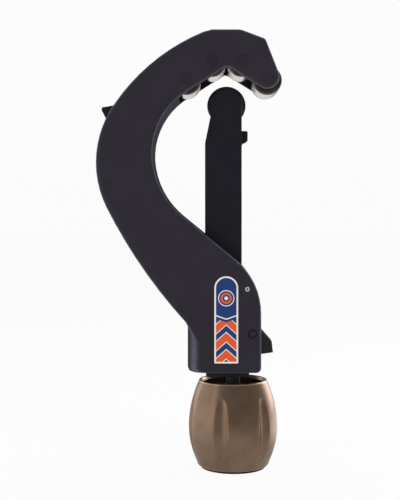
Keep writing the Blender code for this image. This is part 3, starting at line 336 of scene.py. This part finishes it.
def bronze_paint():
    """Satin bronze metallic paint with fine flake and a painted highlight: paler along the rim's
    lip.
    """
    finish = Finish("bronze_paint", coat_roughness=0.25, coat_ior=1.4)
    x = finish.along("X")
    y = finish.along("Y")
    z = finish.along("Z")
    reach = finish.math("SQRT", x * x + y * y)
    machined = finish.ease(z, KNOB_HUB_TOP_Z - 0.45 * mm, KNOB_HUB_TOP_Z - 0.35 * mm)
    machined = machined * (1.0 - finish.ease(reach, KNOB_HUB_RADIUS, KNOB_HUB_RADIUS + 0.1 * mm))
    flake = finish.noise(5200.0, 2.0, 0.6)
    cloud = finish.noise(90.0, 4.0, 0.55)
    peel = finish.noise(700.0, 2.0)
    low = (0.235, 0.150, 0.096)
    high = (0.300, 0.198, 0.132)
    spark = (0.52, 0.38, 0.27)
    tone = finish.blend(finish.ease(cloud, 0.3, 0.7), low, high)
    paint = finish.blend(finish.ease(flake, 0.55, 0.75) * 0.45, tone, spark)
    # Painted highlight: the lip at the top of the rim is paler.
    lip_highlight = finish.ease(z, KNOB_TOP_Z - 0.9 * mm, KNOB_TOP_Z - 0.4 * mm)
    paint = finish.blend(lip_highlight, paint, (0.60, 0.45, 0.34))
    finish.set(base_color=finish.blend(machined, paint, (0.86, 0.80, 0.70)))
    finish.set(metallic=0.94 - 0.64 * machined)
    finish.set(roughness=0.27 + 0.10 * cloud + 0.08 * flake - 0.10 * machined)
    finish.set(coat_weight=0.12 * (1.0 - machined))
    finish.relief(0.7 * peel + 0.3 * flake, 0.02 * mm)
    return finish.material


def ground_roller():
    """Bright ground steel with painted shade: its end faces and their edges are dark brown."""
    finish = Finish("ground_roller")
    y = finish.along("Y")
    rings = finish.noise(4200.0, 3.0, 0.6, finish.joined(0.0, y, 0.0))
    cloud = finish.noise(240.0, 3.0)
    # Painted shade: dark brown, duller and less metallic on the end faces and a band of the round
    # next to them.
    scale = finish.ease(abs(y), ROLLER_GROUND_HALF, ROLLER_GROUND_HALF + 0.4 * mm)
    bright = finish.blend(cloud * 0.5, (0.88, 0.78, 0.71), (0.68, 0.60, 0.54))
    painted_shade_brown = finish.blend(cloud, (0.018, 0.013, 0.009), (0.045, 0.034, 0.024))
    finish.set(base_color=finish.blend(scale, bright, painted_shade_brown), metallic=1.0 - 0.8 * scale)
    finish.set(roughness=0.13 + 0.06 * rings + 0.06 * cloud + 0.25 * scale)
    finish.relief(rings, 0.005 * mm)
    return finish.material


def moulded_plastic():
    finish = Finish("black_plastic", base_color=(0.012, 0.012, 0.013))
    spark = finish.noise(2600.0, 2.0)
    cloud = finish.noise(150.0, 3.0)
    finish.set(roughness=0.42 + 0.14 * cloud)
    finish.relief(spark, 0.02 * mm)
    return finish.material


def turned_brass():
    finish = Finish("brass", metallic=1.0)
    cloud = finish.noise(300.0, 3.0)
    lines = finish.noise(1.0, 2.0, 0.6, finish.stretched((400.0, 400.0, 5000.0)))
    tarnish = finish.blend(finish.ease(cloud, 0.35, 0.7), (0.62, 0.42, 0.15), (0.40, 0.25, 0.09))
    finish.set(base_color=tarnish, roughness=0.24 + 0.12 * cloud + 0.05 * lines)
    finish.relief(lines, 0.006 * mm)
    return finish.material


# Flat decal: a blue ground with orange chevrons below and a ring dial above

DECAL_BLUE = (0.012, 0.042, 0.172)
DECAL_ORANGE = (0.75, 0.105, 0.028)
DECAL_WHITE = (0.84, 0.79, 0.73)


def decal_print():
    """Slightly scuffed gloss print inside a plain border."""
    finish = Finish("decal_print", specular_ior_level=0.2, coat_weight=0.15, coat_roughness=0.18)
    middle = (DECAL_LEFT_X + DECAL_RIGHT_X) / 2.0
    x = finish.along("X") - middle
    z = finish.along("Z")
    half = (DECAL_RIGHT_X - DECAL_LEFT_X) / 2.0 - DECAL_BORDER

    def band(value, low, high, soft=0.05 * mm):
        """1 from low to high, with soft ends."""
        rise = finish.ease(value, low - soft, low + soft)
        return rise * (1.0 - finish.ease(value, high - soft, high + soft))

    chevron = (z - DECAL_BOTTOM_Z + abs(x) * CHEVRON_SLOPE) % CHEVRON_PITCH
    stripe = band(chevron, CHEVRON_LOW, CHEVRON_HIGH)
    line = band(chevron, CHEVRON_LOW - CHEVRON_LINE, CHEVRON_LOW)
    line = line + band(chevron, CHEVRON_HIGH, CHEVRON_HIGH + CHEVRON_LINE)
    slant = z - DIVIDER_SLOPE * abs(x)
    low_part = 1.0 - finish.ease(slant, CHEVRONS_END_Z - 0.1 * mm, CHEVRONS_END_Z)
    divider = band(slant, DIVIDER_Z, DIVIDER_Z + DIVIDER_WIDTH)
    reach = finish.math("SQRT", x * x + (z - DIAL_Z) * (z - DIAL_Z))
    rings = band(reach, 3.5 * mm, 3.9 * mm) + band(reach, 0.0, 0.9 * mm)
    orange_ring = band(reach, 1.7 * mm, 2.7 * mm)
    color = finish.blend(stripe * low_part, DECAL_BLUE, DECAL_ORANGE)
    color = finish.blend(line * low_part, color, DECAL_WHITE)
    color = finish.blend(orange_ring, color, DECAL_ORANGE)
    color = finish.blend(rings + divider, color, DECAL_WHITE)
    inside_x = 1.0 - finish.ease(abs(x), half - 0.04 * mm, half + 0.04 * mm)
    inside_z = band(z, DECAL_BOTTOM_Z + DECAL_BORDER, DECAL_TOP_Z - DECAL_BORDER)
    crown = arch_reach(finish, x, z)
    inside_crown = 1.0 - finish.ease(crown, -DECAL_BORDER - 0.04 * mm, -DECAL_BORDER + 0.04 * mm)
    color = finish.blend(inside_x * inside_z * inside_crown, DECAL_WHITE, color)
    scuff = finish.noise(900.0, 4.0, 0.6)
    scuff_and_highlight = finish.ease(scuff, 0.6, 0.8) * 0.25
    finish.set(base_color=finish.blend(scuff_and_highlight, color, (0.16, 0.14, 0.15)))
    finish.set(roughness=0.34 + 0.12 * scuff)
    finish.relief(scuff, 0.008 * mm)
    return finish.material


def arch_radius():
    """Radius of the arch that closes the decal's top."""
    half = (DECAL_RIGHT_X - DECAL_LEFT_X) / 2.0
    rise = DECAL_TOP_Z - DECAL_SHOULDER_Z
    return (half**2 + rise**2) / (2.0 * rise)


def arch_reach(finish, x, z):
    """How far a point lies outside the arch that closes the decal's top."""
    centre = DECAL_TOP_Z - arch_radius()
    rise = finish.math("MAXIMUM", z - centre, 0.0)
    return finish.math("SQRT", x * x + rise * rise) - arch_radius()


# Mesh tools

def even_flats(obj):
    """Let the large flat faces lead the shading of their edges."""
    modifier = obj.modifiers.new("even_flats", "WEIGHTED_NORMAL")
    modifier.keep_sharp = True


def settle(bm, name, material, sharp=30.0, weighted=True):
    """Make an object of a bmesh, smooth but for its sharp edges."""
    bmesh.ops.recalc_face_normals(bm, faces=bm.faces)
    mesh = bpy.data.meshes.new(name)
    bm.to_mesh(mesh)
    bm.free()
    mesh.materials.append(material)
    mesh.shade_smooth()
    mesh.set_sharp_from_angle(angle=math.radians(sharp))
    obj = bpy.data.objects.new(name, mesh)
    bpy.context.collection.objects.link(obj)
    if weighted:
        even_flats(obj)
    return obj


def turned(profile, segments, axis, centre, reach=None):
    """Close a profile of (radius, distance along the axis) into a body of revolution.

    reach(radius, along, angle) may change the radius from place to place.
    """
    bm = bmesh.new()
    rings = []
    for radius, along in profile:
        if radius <= 0.0:
            rings.append([bm.verts.new((0.0, 0.0, along))])
            continue
        ring = []
        for step in range(segments):
            angle = math.tau * step / segments
            r = reach(radius, along, angle) if reach else radius
            ring.append(bm.verts.new((r * math.cos(angle), r * math.sin(angle), along)))
        rings.append(ring)
    pairs = list(zip(rings, rings[1:]))
    hollow = profile[0][0] > 0.0
    if hollow:
        pairs.append((rings[-1], rings[0]))
    for low, high in pairs:
        for step in range(segments):
            after = (step + 1) % segments
            corners = [low[step % len(low)], low[after % len(low)]]
            corners += [high[after % len(high)], high[step % len(high)]]
            bm.faces.new(list(dict.fromkeys(corners)))
    if axis == "Y":
        bmesh.ops.rotate(bm, verts=bm.verts, matrix=Matrix.Rotation(math.radians(90.0), 3, "X"))
    bmesh.ops.translate(bm, verts=bm.verts, vec=Vector(centre))
    return bm


def arc(centre, radius, first, last, steps=6):
    """Points on an arc about centre, between two angles in degrees."""
    points = []
    for step in range(steps + 1):
        angle = math.radians(first + (last - first) * step / steps)
        points.append((centre[0] + radius * math.cos(angle), centre[1] + radius * math.sin(angle)))
    return points


def mirrored_profile(side):
    """A closed profile from its upper half, as (radius, distance from the middle)."""
    return [(radius, -along) for radius, along in side] + side[::-1]


def refined(node, edge, material):
    """The solid of a node with its flats made whole and its sharp edges broken."""
    bm = bmesh.new()
    bm.from_mesh(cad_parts[node].data)
    bmesh.ops.remove_doubles(bm, verts=bm.verts, dist=0.001 * mm)
    bmesh.ops.dissolve_limit(bm, angle_limit=math.radians(0.3), verts=bm.verts, edges=bm.edges)
    obj = settle(bm, node + "_skin", material, weighted=False)
    bevel = obj.modifiers.new("broken_edges", "BEVEL")
    bevel.width = edge
    bevel.segments = 2
    bevel.limit_method = "ANGLE"
    bevel.angle_limit = math.radians(32.0)
    bevel.use_clamp_overlap = True
    even_flats(obj)
    return obj


def fitted(obj, body, nodes):
    """Put a piece on its body in place of the nodes that it stands for."""
    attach(obj, body)
    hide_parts(*nodes)
    return obj


def middle(node):
    low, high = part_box(node)
    return (Vector(low) + Vector(high)) / 2.0


def size(node):
    low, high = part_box(node)
    return Vector(high) - Vector(low)


# Frame and fixed pins

def dress_frame(coat, pin_coat, bright):
    fitted(refined("frame", 0.15 * mm, coat), "frame_body", ["frame"])
    for number in range(1, 5):
        name = "roller_pin_%d" % number
        pin = round_pin(name, pin_coat, PAINTED_PIN_EDGE, PAINTED_PIN_EDGE)
        fitted(pin, "frame_body", [name])
    pivot = dimpled_pin("latch_pin", pin_coat)
    fitted(pivot, "frame_body", ["latch_pin"])
    fitted(spring_pin(bright), "frame_body", ["spring_pin"])
    reamer_pin = round_pin("reamer_pin", pin_coat, PAINTED_PIN_EDGE, PAINTED_PIN_EDGE)
    fitted(reamer_pin, "frame_body", ["reamer_pin"])


def round_pin(node, material, dome, edge):
    """A riveted pin that fills its bore, with low domes for ends."""
    radius = size(node).x / 2.0 + PIN_FILL
    half = size(node).y / 2.0
    steps = 6
    side = []
    for step in range(steps + 1):
        share = step / steps
        side.append(((radius - edge) * share, half - dome * share**2))
    side.append((radius, half - dome - edge))
    bm = turned(mirrored_profile(side), PIN_SEGMENTS, "Y", middle(node))
    return settle(bm, node + "_skin", material)


def dimpled_pin(node, material):
    """A pin with a centre-drill dimple in each end."""
    radius = size(node).x / 2.0
    half = size(node).y / 2.0
    edge = 0.3 * mm
    lip = 0.15 * mm
    side = [(0.0, half - DIMPLE_DEPTH), (DIMPLE_RADIUS, half - lip), (DIMPLE_RADIUS + lip, half)]
    side += [(radius - edge, half), (radius, half - edge)]
    bm = turned(mirrored_profile(side), PIN_SEGMENTS, "Y", middle(node))
    return settle(bm, node + "_skin", material)


def spring_pin(material):
    """A hollow pin of rolled strip, open along one side."""
    place = middle("spring_pin")
    radius = size("spring_pin").x / 2.0
    half = size("spring_pin").y / 2.0
    bore = radius - SPRING_PIN_WALL
    edge = 0.12 * mm
    section = [(bore, -half), (radius - edge, -half), (radius, -half + edge)]
    section += [(radius, half - edge), (radius - edge, half), (bore, half)]
    bm = bmesh.new()
    rings = []
    for step in range(PIN_SEGMENTS + 1):
        angle = SPRING_PIN_GAP / 2.0 + (math.tau - SPRING_PIN_GAP) * step / PIN_SEGMENTS
        ring = []
        for r, y in section:
            spot = (place.x + r * math.cos(angle), place.y + y, place.z + r * math.sin(angle))
            ring.append(bm.verts.new(spot))
        rings.append(ring)
    for first, second in zip(rings, rings[1:]):
        for index in range(len(section)):
            after = (index + 1) % len(section)
            bm.faces.new([first[index], first[after], second[after], second[index]])
    bm.faces.new(rings[0])
    bm.faces.new(list(reversed(rings[-1])))
    return settle(bm, "spring_pin_skin", material)


# Rollers and cutter wheel

def dress_rollers(plating):
    """Slightly crowned rollers, ground bright on the round, with painted shade on their end faces.
    """
    for number in range(1, 5):
        node = "roller_%d" % number
        radius = size(node).x / 2.0
        half = size(node).y / 2.0
        bore = ROLLER_BORE / 2.0
        chamfer = ROLLER_CHAMFER
        side = [(radius, 0.0)]
        for step in range(7):
            share = step / 6
            along = half - chamfer - ROLLER_CROWN_LENGTH * (1.0 - share)
            side.append((radius - ROLLER_CROWN_DROP * share**2, along))
        shoulder = radius - ROLLER_CROWN_DROP
        side += arc((shoulder - chamfer, half - chamfer), chamfer, 10.0, 90.0)
        side += [(bore + ROLLER_MOUTH, half), (bore, half - ROLLER_MOUTH)]
        profile = [(r, -y) for r, y in reversed(side[1:])] + side
        roller = settle(turned(profile, FINE_SEGMENTS, "Y", middle(node)), node + "_skin", plating)
        fitted(roller, "roller_body_%d" % number, [node])


def dress_wheel(steel):
    """A disc with a vee edge, a flat web and a raised hub."""
    radius = size("cutter_wheel").x / 2.0
    half = size("cutter_wheel").y / 2.0
    web = WHEEL_THICKNESS / 2.0
    shoulder = radius - WHEEL_EDGE_DEPTH
    hub = WHEEL_HUB / 2.0
    bore = WHEEL_BORE / 2.0
    side = [(radius, 0.03 * mm), (shoulder, web), (shoulder - 0.15 * mm, web + 0.02 * mm)]
    side += [(hub + 0.35 * mm, web), (hub, web + 0.35 * mm), (hub, half - 0.25 * mm)]
    side += [(hub - 0.25 * mm, half), (bore + 0.3 * mm, half), (bore, half - 0.3 * mm)]
    profile = [(r, -y) for r, y in reversed(side)] + side
    bm = turned(profile, FINE_SEGMENTS, "Y", middle("cutter_wheel"))
    wheel = settle(bm, "cutter_wheel_skin", steel, 20.0)
    fitted(wheel, "wheel_body", ["cutter_wheel"])


# Slide and what it carries

def dress_slide(oxide, block_oxide, steel):
    fitted(refined("slide", 0.25 * mm, oxide), "slide_body", ["slide"])
    stop = refined("travel_stop", 0.25 * mm, oxide)
    fitted(stop, "slide_body", ["travel_stop"])
    block = refined("thrust_block", 0.3 * mm, block_oxide)
    fitted(block, "slide_body", ["thrust_block"])
    for name in ("travel_stop_pin", "wheel_pin", "block_pin"):
        pin = round_pin(name, oxide, PIN_DOME, PIN_EDGE)
        fitted(pin, "slide_body", [name])
    for name in ("wheel_spacer_near", "wheel_spacer_far", "thrust_washer"):
        fitted(refined(name, 0.12 * mm, steel), "slide_body", [name])


# Feed screw

def shank_profile():
    """The screw below its thread: the shank, the thrust flange and the ring's groove."""
    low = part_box("feed_screw")[0]
    radius = SCREW_DIAMETER / 2.0
    flange = size("feed_screw").x / 2.0
    edge = 0.2 * mm
    groove = radius - RING_GROOVE_DEPTH
    chamfer = SCREW_CHAMFER
    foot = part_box("thrust_block")[0][2] + SEAT_GAP
    head = foot + FLANGE_HEIGHT
    ring_low, ring_high = (corner[2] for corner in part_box("retaining_ring"))
    profile = [(0.0, low[2]), (radius - chamfer, low[2]), (radius, low[2] + chamfer)]
    profile += [(radius, foot), (flange - edge, foot), (flange, foot + edge)]
    profile += [(flange, head - edge), (flange - edge, head), (radius, head)]
    profile += [(radius, ring_low - SEAT_GAP), (groove, ring_low - SEAT_GAP)]
    profile += [(groove, ring_high + SEAT_GAP), (radius, ring_high + SEAT_GAP)]
    profile += [(radius, THREAD_START_Z - 0.4 * mm), (radius - 0.4 * mm, THREAD_START_Z)]
    profile.append((0.0, THREAD_START_Z))
    return profile


def thread(bm, low, high, radius):
    """Add a one-start trapezoidal thread: rows of points that climb one lead in a turn."""
    root = radius - THREAD_DEPTH
    crest_round = 0.06 * mm
    tooth = [(0.00, root), (0.24, root), (0.44, radius - crest_round), (0.47, radius)]
    tooth += [(0.73, radius), (0.76, radius - crest_round)]
    turns = math.ceil((high - low) / THREAD_LEAD) + 2
    columns = []
    for step in range(THREAD_SEGMENTS):
        angle = math.tau * step / THREAD_SEGMENTS
        column = []
        for turn in range(turns):
            for share, r in tooth:
                z = low + (turn - 1 + share + step / THREAD_SEGMENTS) * THREAD_LEAD
                z = min(max(z, low), high)
                end = root - 0.2 * mm + min(z - low, high - z)
                spot_radius = min(r, end)
                spot = (spot_radius * math.cos(angle), spot_radius * math.sin(angle), z)
                column.append(bm.verts.new(spot))
        columns.append(column)
    count = len(columns[0])
    for step in range(THREAD_SEGMENTS):
        shift = len(tooth) if step == THREAD_SEGMENTS - 1 else 0
        after = columns[(step + 1) % THREAD_SEGMENTS]
        for row in range(count - 1 - shift):
            corners = [columns[step][row], columns[step][row + 1]]
            corners += [after[row + 1 + shift], after[row + shift]]
            bm.faces.new(corners)
    verts = [vert for column in columns for vert in column]
    bmesh.ops.remove_doubles(bm, verts=verts, dist=0.0005 * mm)
    bmesh.ops.dissolve_degenerate(bm, dist=0.0005 * mm, edges=bm.edges)
    open_edges = [edge for edge in bm.edges if edge.is_boundary]
    bmesh.ops.holes_fill(bm, edges=open_edges, sides=0)


def dress_screw(steel, washer_steel):
    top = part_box("feed_screw")[1][2]
    bm = turned(shank_profile(), FINE_SEGMENTS, "Z", (0.0, 0.0, 0.0))
    thread(bm, THREAD_START_Z - 0.5 * mm, top, SCREW_DIAMETER / 2.0)
    screw = settle(bm, "feed_screw_skin", steel, 25.0)
    fitted(screw, "knob_body", ["feed_screw"])
    ring = refined("retaining_ring", 0.12 * mm, washer_steel)
    fitted(ring, "knob_body", ["retaining_ring"])


# Knob

def knob_radius(z):
    """Barrel curve: a parabola either side of the fullest height."""
    if z < KNOB_MAX_Z:
        share = (KNOB_MAX_Z - z) / (KNOB_MAX_Z - KNOB_BASE_Z)
        return KNOB_MAX_RADIUS - (KNOB_MAX_RADIUS - KNOB_BASE_RADIUS) * share**2
    share = (z - KNOB_MAX_Z) / (KNOB_TOP_Z - KNOB_MAX_Z)
    return KNOB_MAX_RADIUS - (KNOB_MAX_RADIUS - KNOB_RIM_RADIUS) * share**2


def flute_depth(z, angle):
    """Depth of the finger flutes: hollow scoops that run out in rounded ends."""
    if not FLUTE_LOW_Z < z < FLUTE_HIGH_Z:
        return 0.0
    pitch = math.tau / FLUTE_COUNT
    offset = (angle - FLUTE_FIRST_ANGLE + pitch / 2.0) % pitch - pitch / 2.0
    swell = math.sin(math.pi * (z - FLUTE_LOW_Z) / (FLUTE_HIGH_Z - FLUTE_LOW_Z))
    across = offset / (FLUTE_HALF_ANGLE * swell**FLUTE_WIDTH_FADE)
    return FLUTE_DEPTH * swell**FLUTE_DEPTH_FADE * max(1.0 - across**2, 0.0)


def fluted(radius, z, angle):
    """Radius after the flutes, which cut only the knob's outer wall."""
    if radius < knob_radius(z) - KNOB_WALL / 2.0:
        return radius
    return radius - flute_depth(z, angle)


def knob_profile():
    """Half section of the knob: its barrel, its lip, the open cup with a hub, and the bore."""
    base = KNOB_BASE_ROUND
    lip = KNOB_LIP_ROUND
    floor = KNOB_CUP_FLOOR_ROUND
    low = KNOB_BASE_Z + base
    high = KNOB_TOP_Z - lip
    points = [(KNOB_RECESS_RADIUS, KNOB_BASE_Z)]
    points += arc((knob_radius(low) - base, low), base, -90.0, -10.0)
    for row in range(1, KNOB_ROWS + 1):
        z = low + (high - low) * row / KNOB_ROWS
        points.append((knob_radius(z), z))
    points += arc((knob_radius(high) - lip, high), lip, 12.0, 168.0, 10)
    for row in range(1, 9):
        z = high + (KNOB_CUP_FLOOR_Z + floor - high) * row / 8
        points.append((knob_radius(z) - KNOB_WALL, z))
    inner = points[-1][0]
    points += arc((inner - floor, KNOB_CUP_FLOOR_Z + floor), floor, -10.0, -90.0)
    hub = KNOB_HUB_RADIUS
    bore = SCREW_DIAMETER / 2.0 + 0.3 * mm
    points += [(hub + 0.5 * mm, KNOB_CUP_FLOOR_Z), (hub, KNOB_CUP_FLOOR_Z + 0.5 * mm)]
    points += [(hub, KNOB_HUB_TOP_Z - 0.4 * mm), (hub - 0.4 * mm, KNOB_HUB_TOP_Z)]
    points += [(bore + 0.3 * mm, KNOB_HUB_TOP_Z), (bore, KNOB_HUB_TOP_Z - 0.3 * mm)]
    points += [(bore, KNOB_RECESS_TOP_Z), (KNOB_RECESS_RADIUS, KNOB_RECESS_TOP_Z)]
    return points


def dress_knob(paint, plastic, steel):
    bm = turned(knob_profile(), KNOB_SEGMENTS, "Z", (0.0, 0.0, 0.0), fluted)
    knob = settle(bm, "knob_skin", paint, 14.0, weighted=False)
    fitted(knob, "knob_body", ["knob"])
    radius = size("knob_cap").x / 2.0
    low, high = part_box("knob_cap")
    disc = KNOB_BASE_Z - SEAT_GAP
    spigot = KNOB_RECESS_RADIUS - SEAT_GAP
    profile = [(0.0, low[2]), (radius - 0.15 * mm, low[2]), (radius, low[2] + 0.15 * mm)]
    profile += [(radius, disc - 0.1 * mm), (radius - 0.1 * mm, disc), (spigot, disc)]
    profile += [(spigot, high[2]), (0.0, high[2])]
    cap = settle(turned(profile, FINE_SEGMENTS, "Z", (0.0, 0.0, 0.0)), "knob_cap_skin", plastic)
    fitted(cap, "knob_body", ["knob_cap"])
    fitted(refined("knob_nut", 0.2 * mm, steel), "knob_body", ["knob_nut"])


# Latch, half nut and reamer

def dress_latch(oxide, brass, spring_steel):
    fitted(refined("latch", 0.35 * mm, oxide), "latch_body", ["latch"])
    fitted(refined("half_nut", 0.2 * mm, brass), "latch_body", ["half_nut"])
    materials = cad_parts["latch_spring"].data.materials
    materials.clear()
    materials.append(spring_steel)


def dress_reamer(steel):
    fitted(refined("reamer", 0.2 * mm, steel), "reamer_body", ["reamer"])


# Decal

def dress_decal():
    """A thin sheet with an arched top on the housing's near face."""
    half = (DECAL_RIGHT_X - DECAL_LEFT_X) / 2.0
    middle_x = (DECAL_LEFT_X + DECAL_RIGHT_X) / 2.0
    radius = arch_radius()
    centre = DECAL_TOP_Z - radius
    span = math.asin(half / radius)
    outline = []
    for step in range(DECAL_ARCH_STEPS + 1):
        angle = -span + 2.0 * span * step / DECAL_ARCH_STEPS
        outline.append((middle_x - radius * math.sin(angle), centre + radius * math.cos(angle)))
    corner = DECAL_CORNER
    for side, first in ((-1.0, 180.0), (1.0, 270.0)):
        spot = (middle_x + side * (half - corner), DECAL_BOTTOM_Z + corner)
        outline += arc(spot, corner, first, first + 90.0)
    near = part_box("frame")[0][1]
    bm = bmesh.new()
    back = [bm.verts.new((x, near, z)) for x, z in outline]
    face = bm.faces.new(back)
    sheet = bmesh.ops.extrude_face_region(bm, geom=[face])
    moved = [item for item in sheet["geom"] if isinstance(item, bmesh.types.BMVert)]
    bmesh.ops.translate(bm, verts=moved, vec=(0.0, -DECAL_THICKNESS, 0.0))
    decal = settle(bm, "housing_decal", decal_print())
    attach(decal, "frame_body")


# Studio

ROOM_LIGHT = 0.26
BACKDROP_WHITE = 0.985
HORIZON_WHITE = 0.974
FLOOR_SIZE = 6.0
FLOOR_MIDDLE_Y = 1.5
FLOOR_GLOW = 0.95

# How bright the floor is in reflections: in front of the object, and what is added near it,
# far behind it, to its left and to its right
MIRRORED_FRONT = 0.38
MIRRORED_NEAR = 0.22
MIRRORED_FAR = 0.20
MIRRORED_LEFT = 0.35
MIRRORED_RIGHT = 1.2


def make_floor():
    """A white floor that is dimmer where the object mirrors it, and stays under the knob."""
    bpy.ops.mesh.primitive_plane_add(size=FLOOR_SIZE, location=(0.0, FLOOR_MIDDLE_Y, 0.0))
    floor = bpy.context.object
    floor.name = "studio_floor"
    nodes = Finish("studio_floor", base_color=(0.86, 0.855, 0.85), roughness=0.7)
    x = nodes.along("X")
    y = nodes.along("Y") + FLOOR_MIDDLE_Y
    beside = 1.0 - nodes.ease(y, 0.12, 0.25)
    right = nodes.ease(x, 0.03, 0.08) * nodes.ease(y, -0.02, 0.04) * beside
    left = (1.0 - nodes.ease(x, -0.09, -0.04)) * beside
    level = MIRRORED_FRONT + MIRRORED_NEAR * nodes.ease(y, -0.12, -0.07)
    level = level + MIRRORED_FAR * nodes.ease(y, 0.3, 0.8)
    level = level + MIRRORED_LEFT * left + MIRRORED_RIGHT * right
    mirrored = nodes.node("ShaderNodeLightPath", output="Is Glossy Ray")
    white = nodes.dimmed((1.0, 0.992, 0.996), 1.0 - mirrored * (1.0 - level))
    glow = nodes.node("ShaderNodeEmission", None, {"Color": white})
    plain = Flow(nodes, nodes.shader.outputs[0])
    seen = nodes.seen(1.0) * FLOOR_GLOW
    mixed = nodes.node("ShaderNodeMixShader", None, {0: seen, 1: plain, 2: glow})
    nodes.tree.links.new(mixed.socket, nodes.tree.nodes["Material Output"].inputs["Surface"])
    floor.data.materials.append(nodes.material)
    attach(floor, "slide_body")


def make_world():
    """A white backdrop for the camera in a dim room."""
    world = bpy.data.worlds.new("studio")
    bpy.context.scene.world = world
    world.use_nodes = True
    nodes = Nodes(world.node_tree)
    backdrop = world.node_tree.nodes["Background"]
    direction = nodes.node("ShaderNodeTexCoord", output="Generated")
    rise = nodes.node("ShaderNodeSeparateXYZ", None, {0: direction}, "Z")
    white = HORIZON_WHITE + (BACKDROP_WHITE - HORIZON_WHITE) * nodes.ease(rise, 0.0, 0.2)
    level = ROOM_LIGHT + nodes.seen(0.0) * (white - ROOM_LIGHT)
    nodes.plug(backdrop.inputs["Color"], nodes.dimmed((1.0, 0.992, 0.998), level))


def softbox(name, place, aim, width, height, power, mirrored=True):
    """An area lamp, which the object mirrors or is only lit by."""
    light = bpy.data.lights.new(name, "AREA")
    light.shape = "RECTANGLE"
    light.size = width
    light.size_y = height
    light.energy = power
    obj = bpy.data.objects.new(name, light)
    obj.location = place
    direction = Vector(aim) - Vector(place)
    obj.rotation_euler = direction.to_track_quat("-Z", "Y").to_euler()
    obj.visible_glossy = mirrored
    bpy.context.collection.objects.link(obj)


def make_lights():
    """Flat fill from the front that isn't mirrored, and large boxes beside, behind and above."""
    aim = (-0.01, 0.0, 0.10)
    softbox("front_right", (0.45, -0.60, 0.45), aim, 0.50, 0.50, 2.5, mirrored=False)
    softbox("front_left", (-0.50, -0.55, 0.10), aim, 0.50, 0.60, 2.2, mirrored=False)
    softbox("left_strip", (-0.54, -0.34, 0.18), aim, 0.10, 0.60, 0.35)
    softbox("side_left", (-0.64, -0.02, 0.20), aim, 0.60, 0.70, 0.85)
    softbox("back_left", (-0.50, 0.42, 0.16), aim, 0.20, 0.70, 0.8)
    softbox("back_right", (0.46, 0.42, 0.16), aim, 0.34, 0.70, 2.7)
    softbox("top", (0.0, 0.15, 0.80), aim, 0.60, 0.40, 2.2)


def make_camera():
    """A level camera whose frame is shifted to the photograph's eye line."""
    data = bpy.data.cameras.new("camera")
    data.lens = CAMERA_LENS
    data.sensor_width = CAMERA_SENSOR
    data.shift_y = (EYE_LINE_PX - FRAME_HEIGHT_PX / 2.0) / FRAME_HEIGHT_PX
    data.clip_start = 0.01
    camera = bpy.data.objects.new("camera", data)
    camera.location = CAMERA_PLACE
    camera.rotation_euler = (math.radians(90.0), 0.0, 0.0)
    bpy.context.collection.objects.link(camera)
    bpy.context.scene.camera = camera
    bpy.context.scene.view_settings.view_transform = "Standard"


# The last colour of each coat is its painted highlight on the rounded edges.
coat = powder_coat("powder_coat", (0.0262, 0.0228, 0.0312), (0.185, 0.172, 0.240))
pin_coat = powder_coat("pin_coat", (0.0240, 0.0208, 0.0288), (0.060, 0.055, 0.070))
plating = ground_roller()
tool_steel = turned_metal("wheel_steel", (0.050, 0.046, 0.054), "Y", 0.34, metallic=0.8)
screw_steel = turned_metal("screw_steel", (0.085, 0.082, 0.088), "Z", 0.34, metallic=0.85)
bright_steel = turned_metal("bright_steel", (0.86, 0.85, 0.84), "Y", 0.24, metallic=0.25)
oxide = black_oxide("black_oxide", (0.0130, 0.0120, 0.0166), 0.36, 0.2)
grey_oxide = black_oxide("grey_oxide", (0.0270, 0.0252, 0.0300), 0.36, 0.2)
blade_steel = black_oxide("blade_steel", (0.020, 0.018, 0.024), 0.32, 0.4)
brass = turned_brass()

dress_frame(coat, pin_coat, bright_steel)
dress_rollers(plating)
dress_wheel(tool_steel)
dress_slide(oxide, grey_oxide, screw_steel)
dress_screw(screw_steel, bright_steel)
dress_knob(bronze_paint(), moulded_plastic(), screw_steel)
dress_latch(grey_oxide, brass, bright_steel)
dress_reamer(blade_steel)
dress_decal()
make_floor()
make_world()
make_lights()
make_camera()
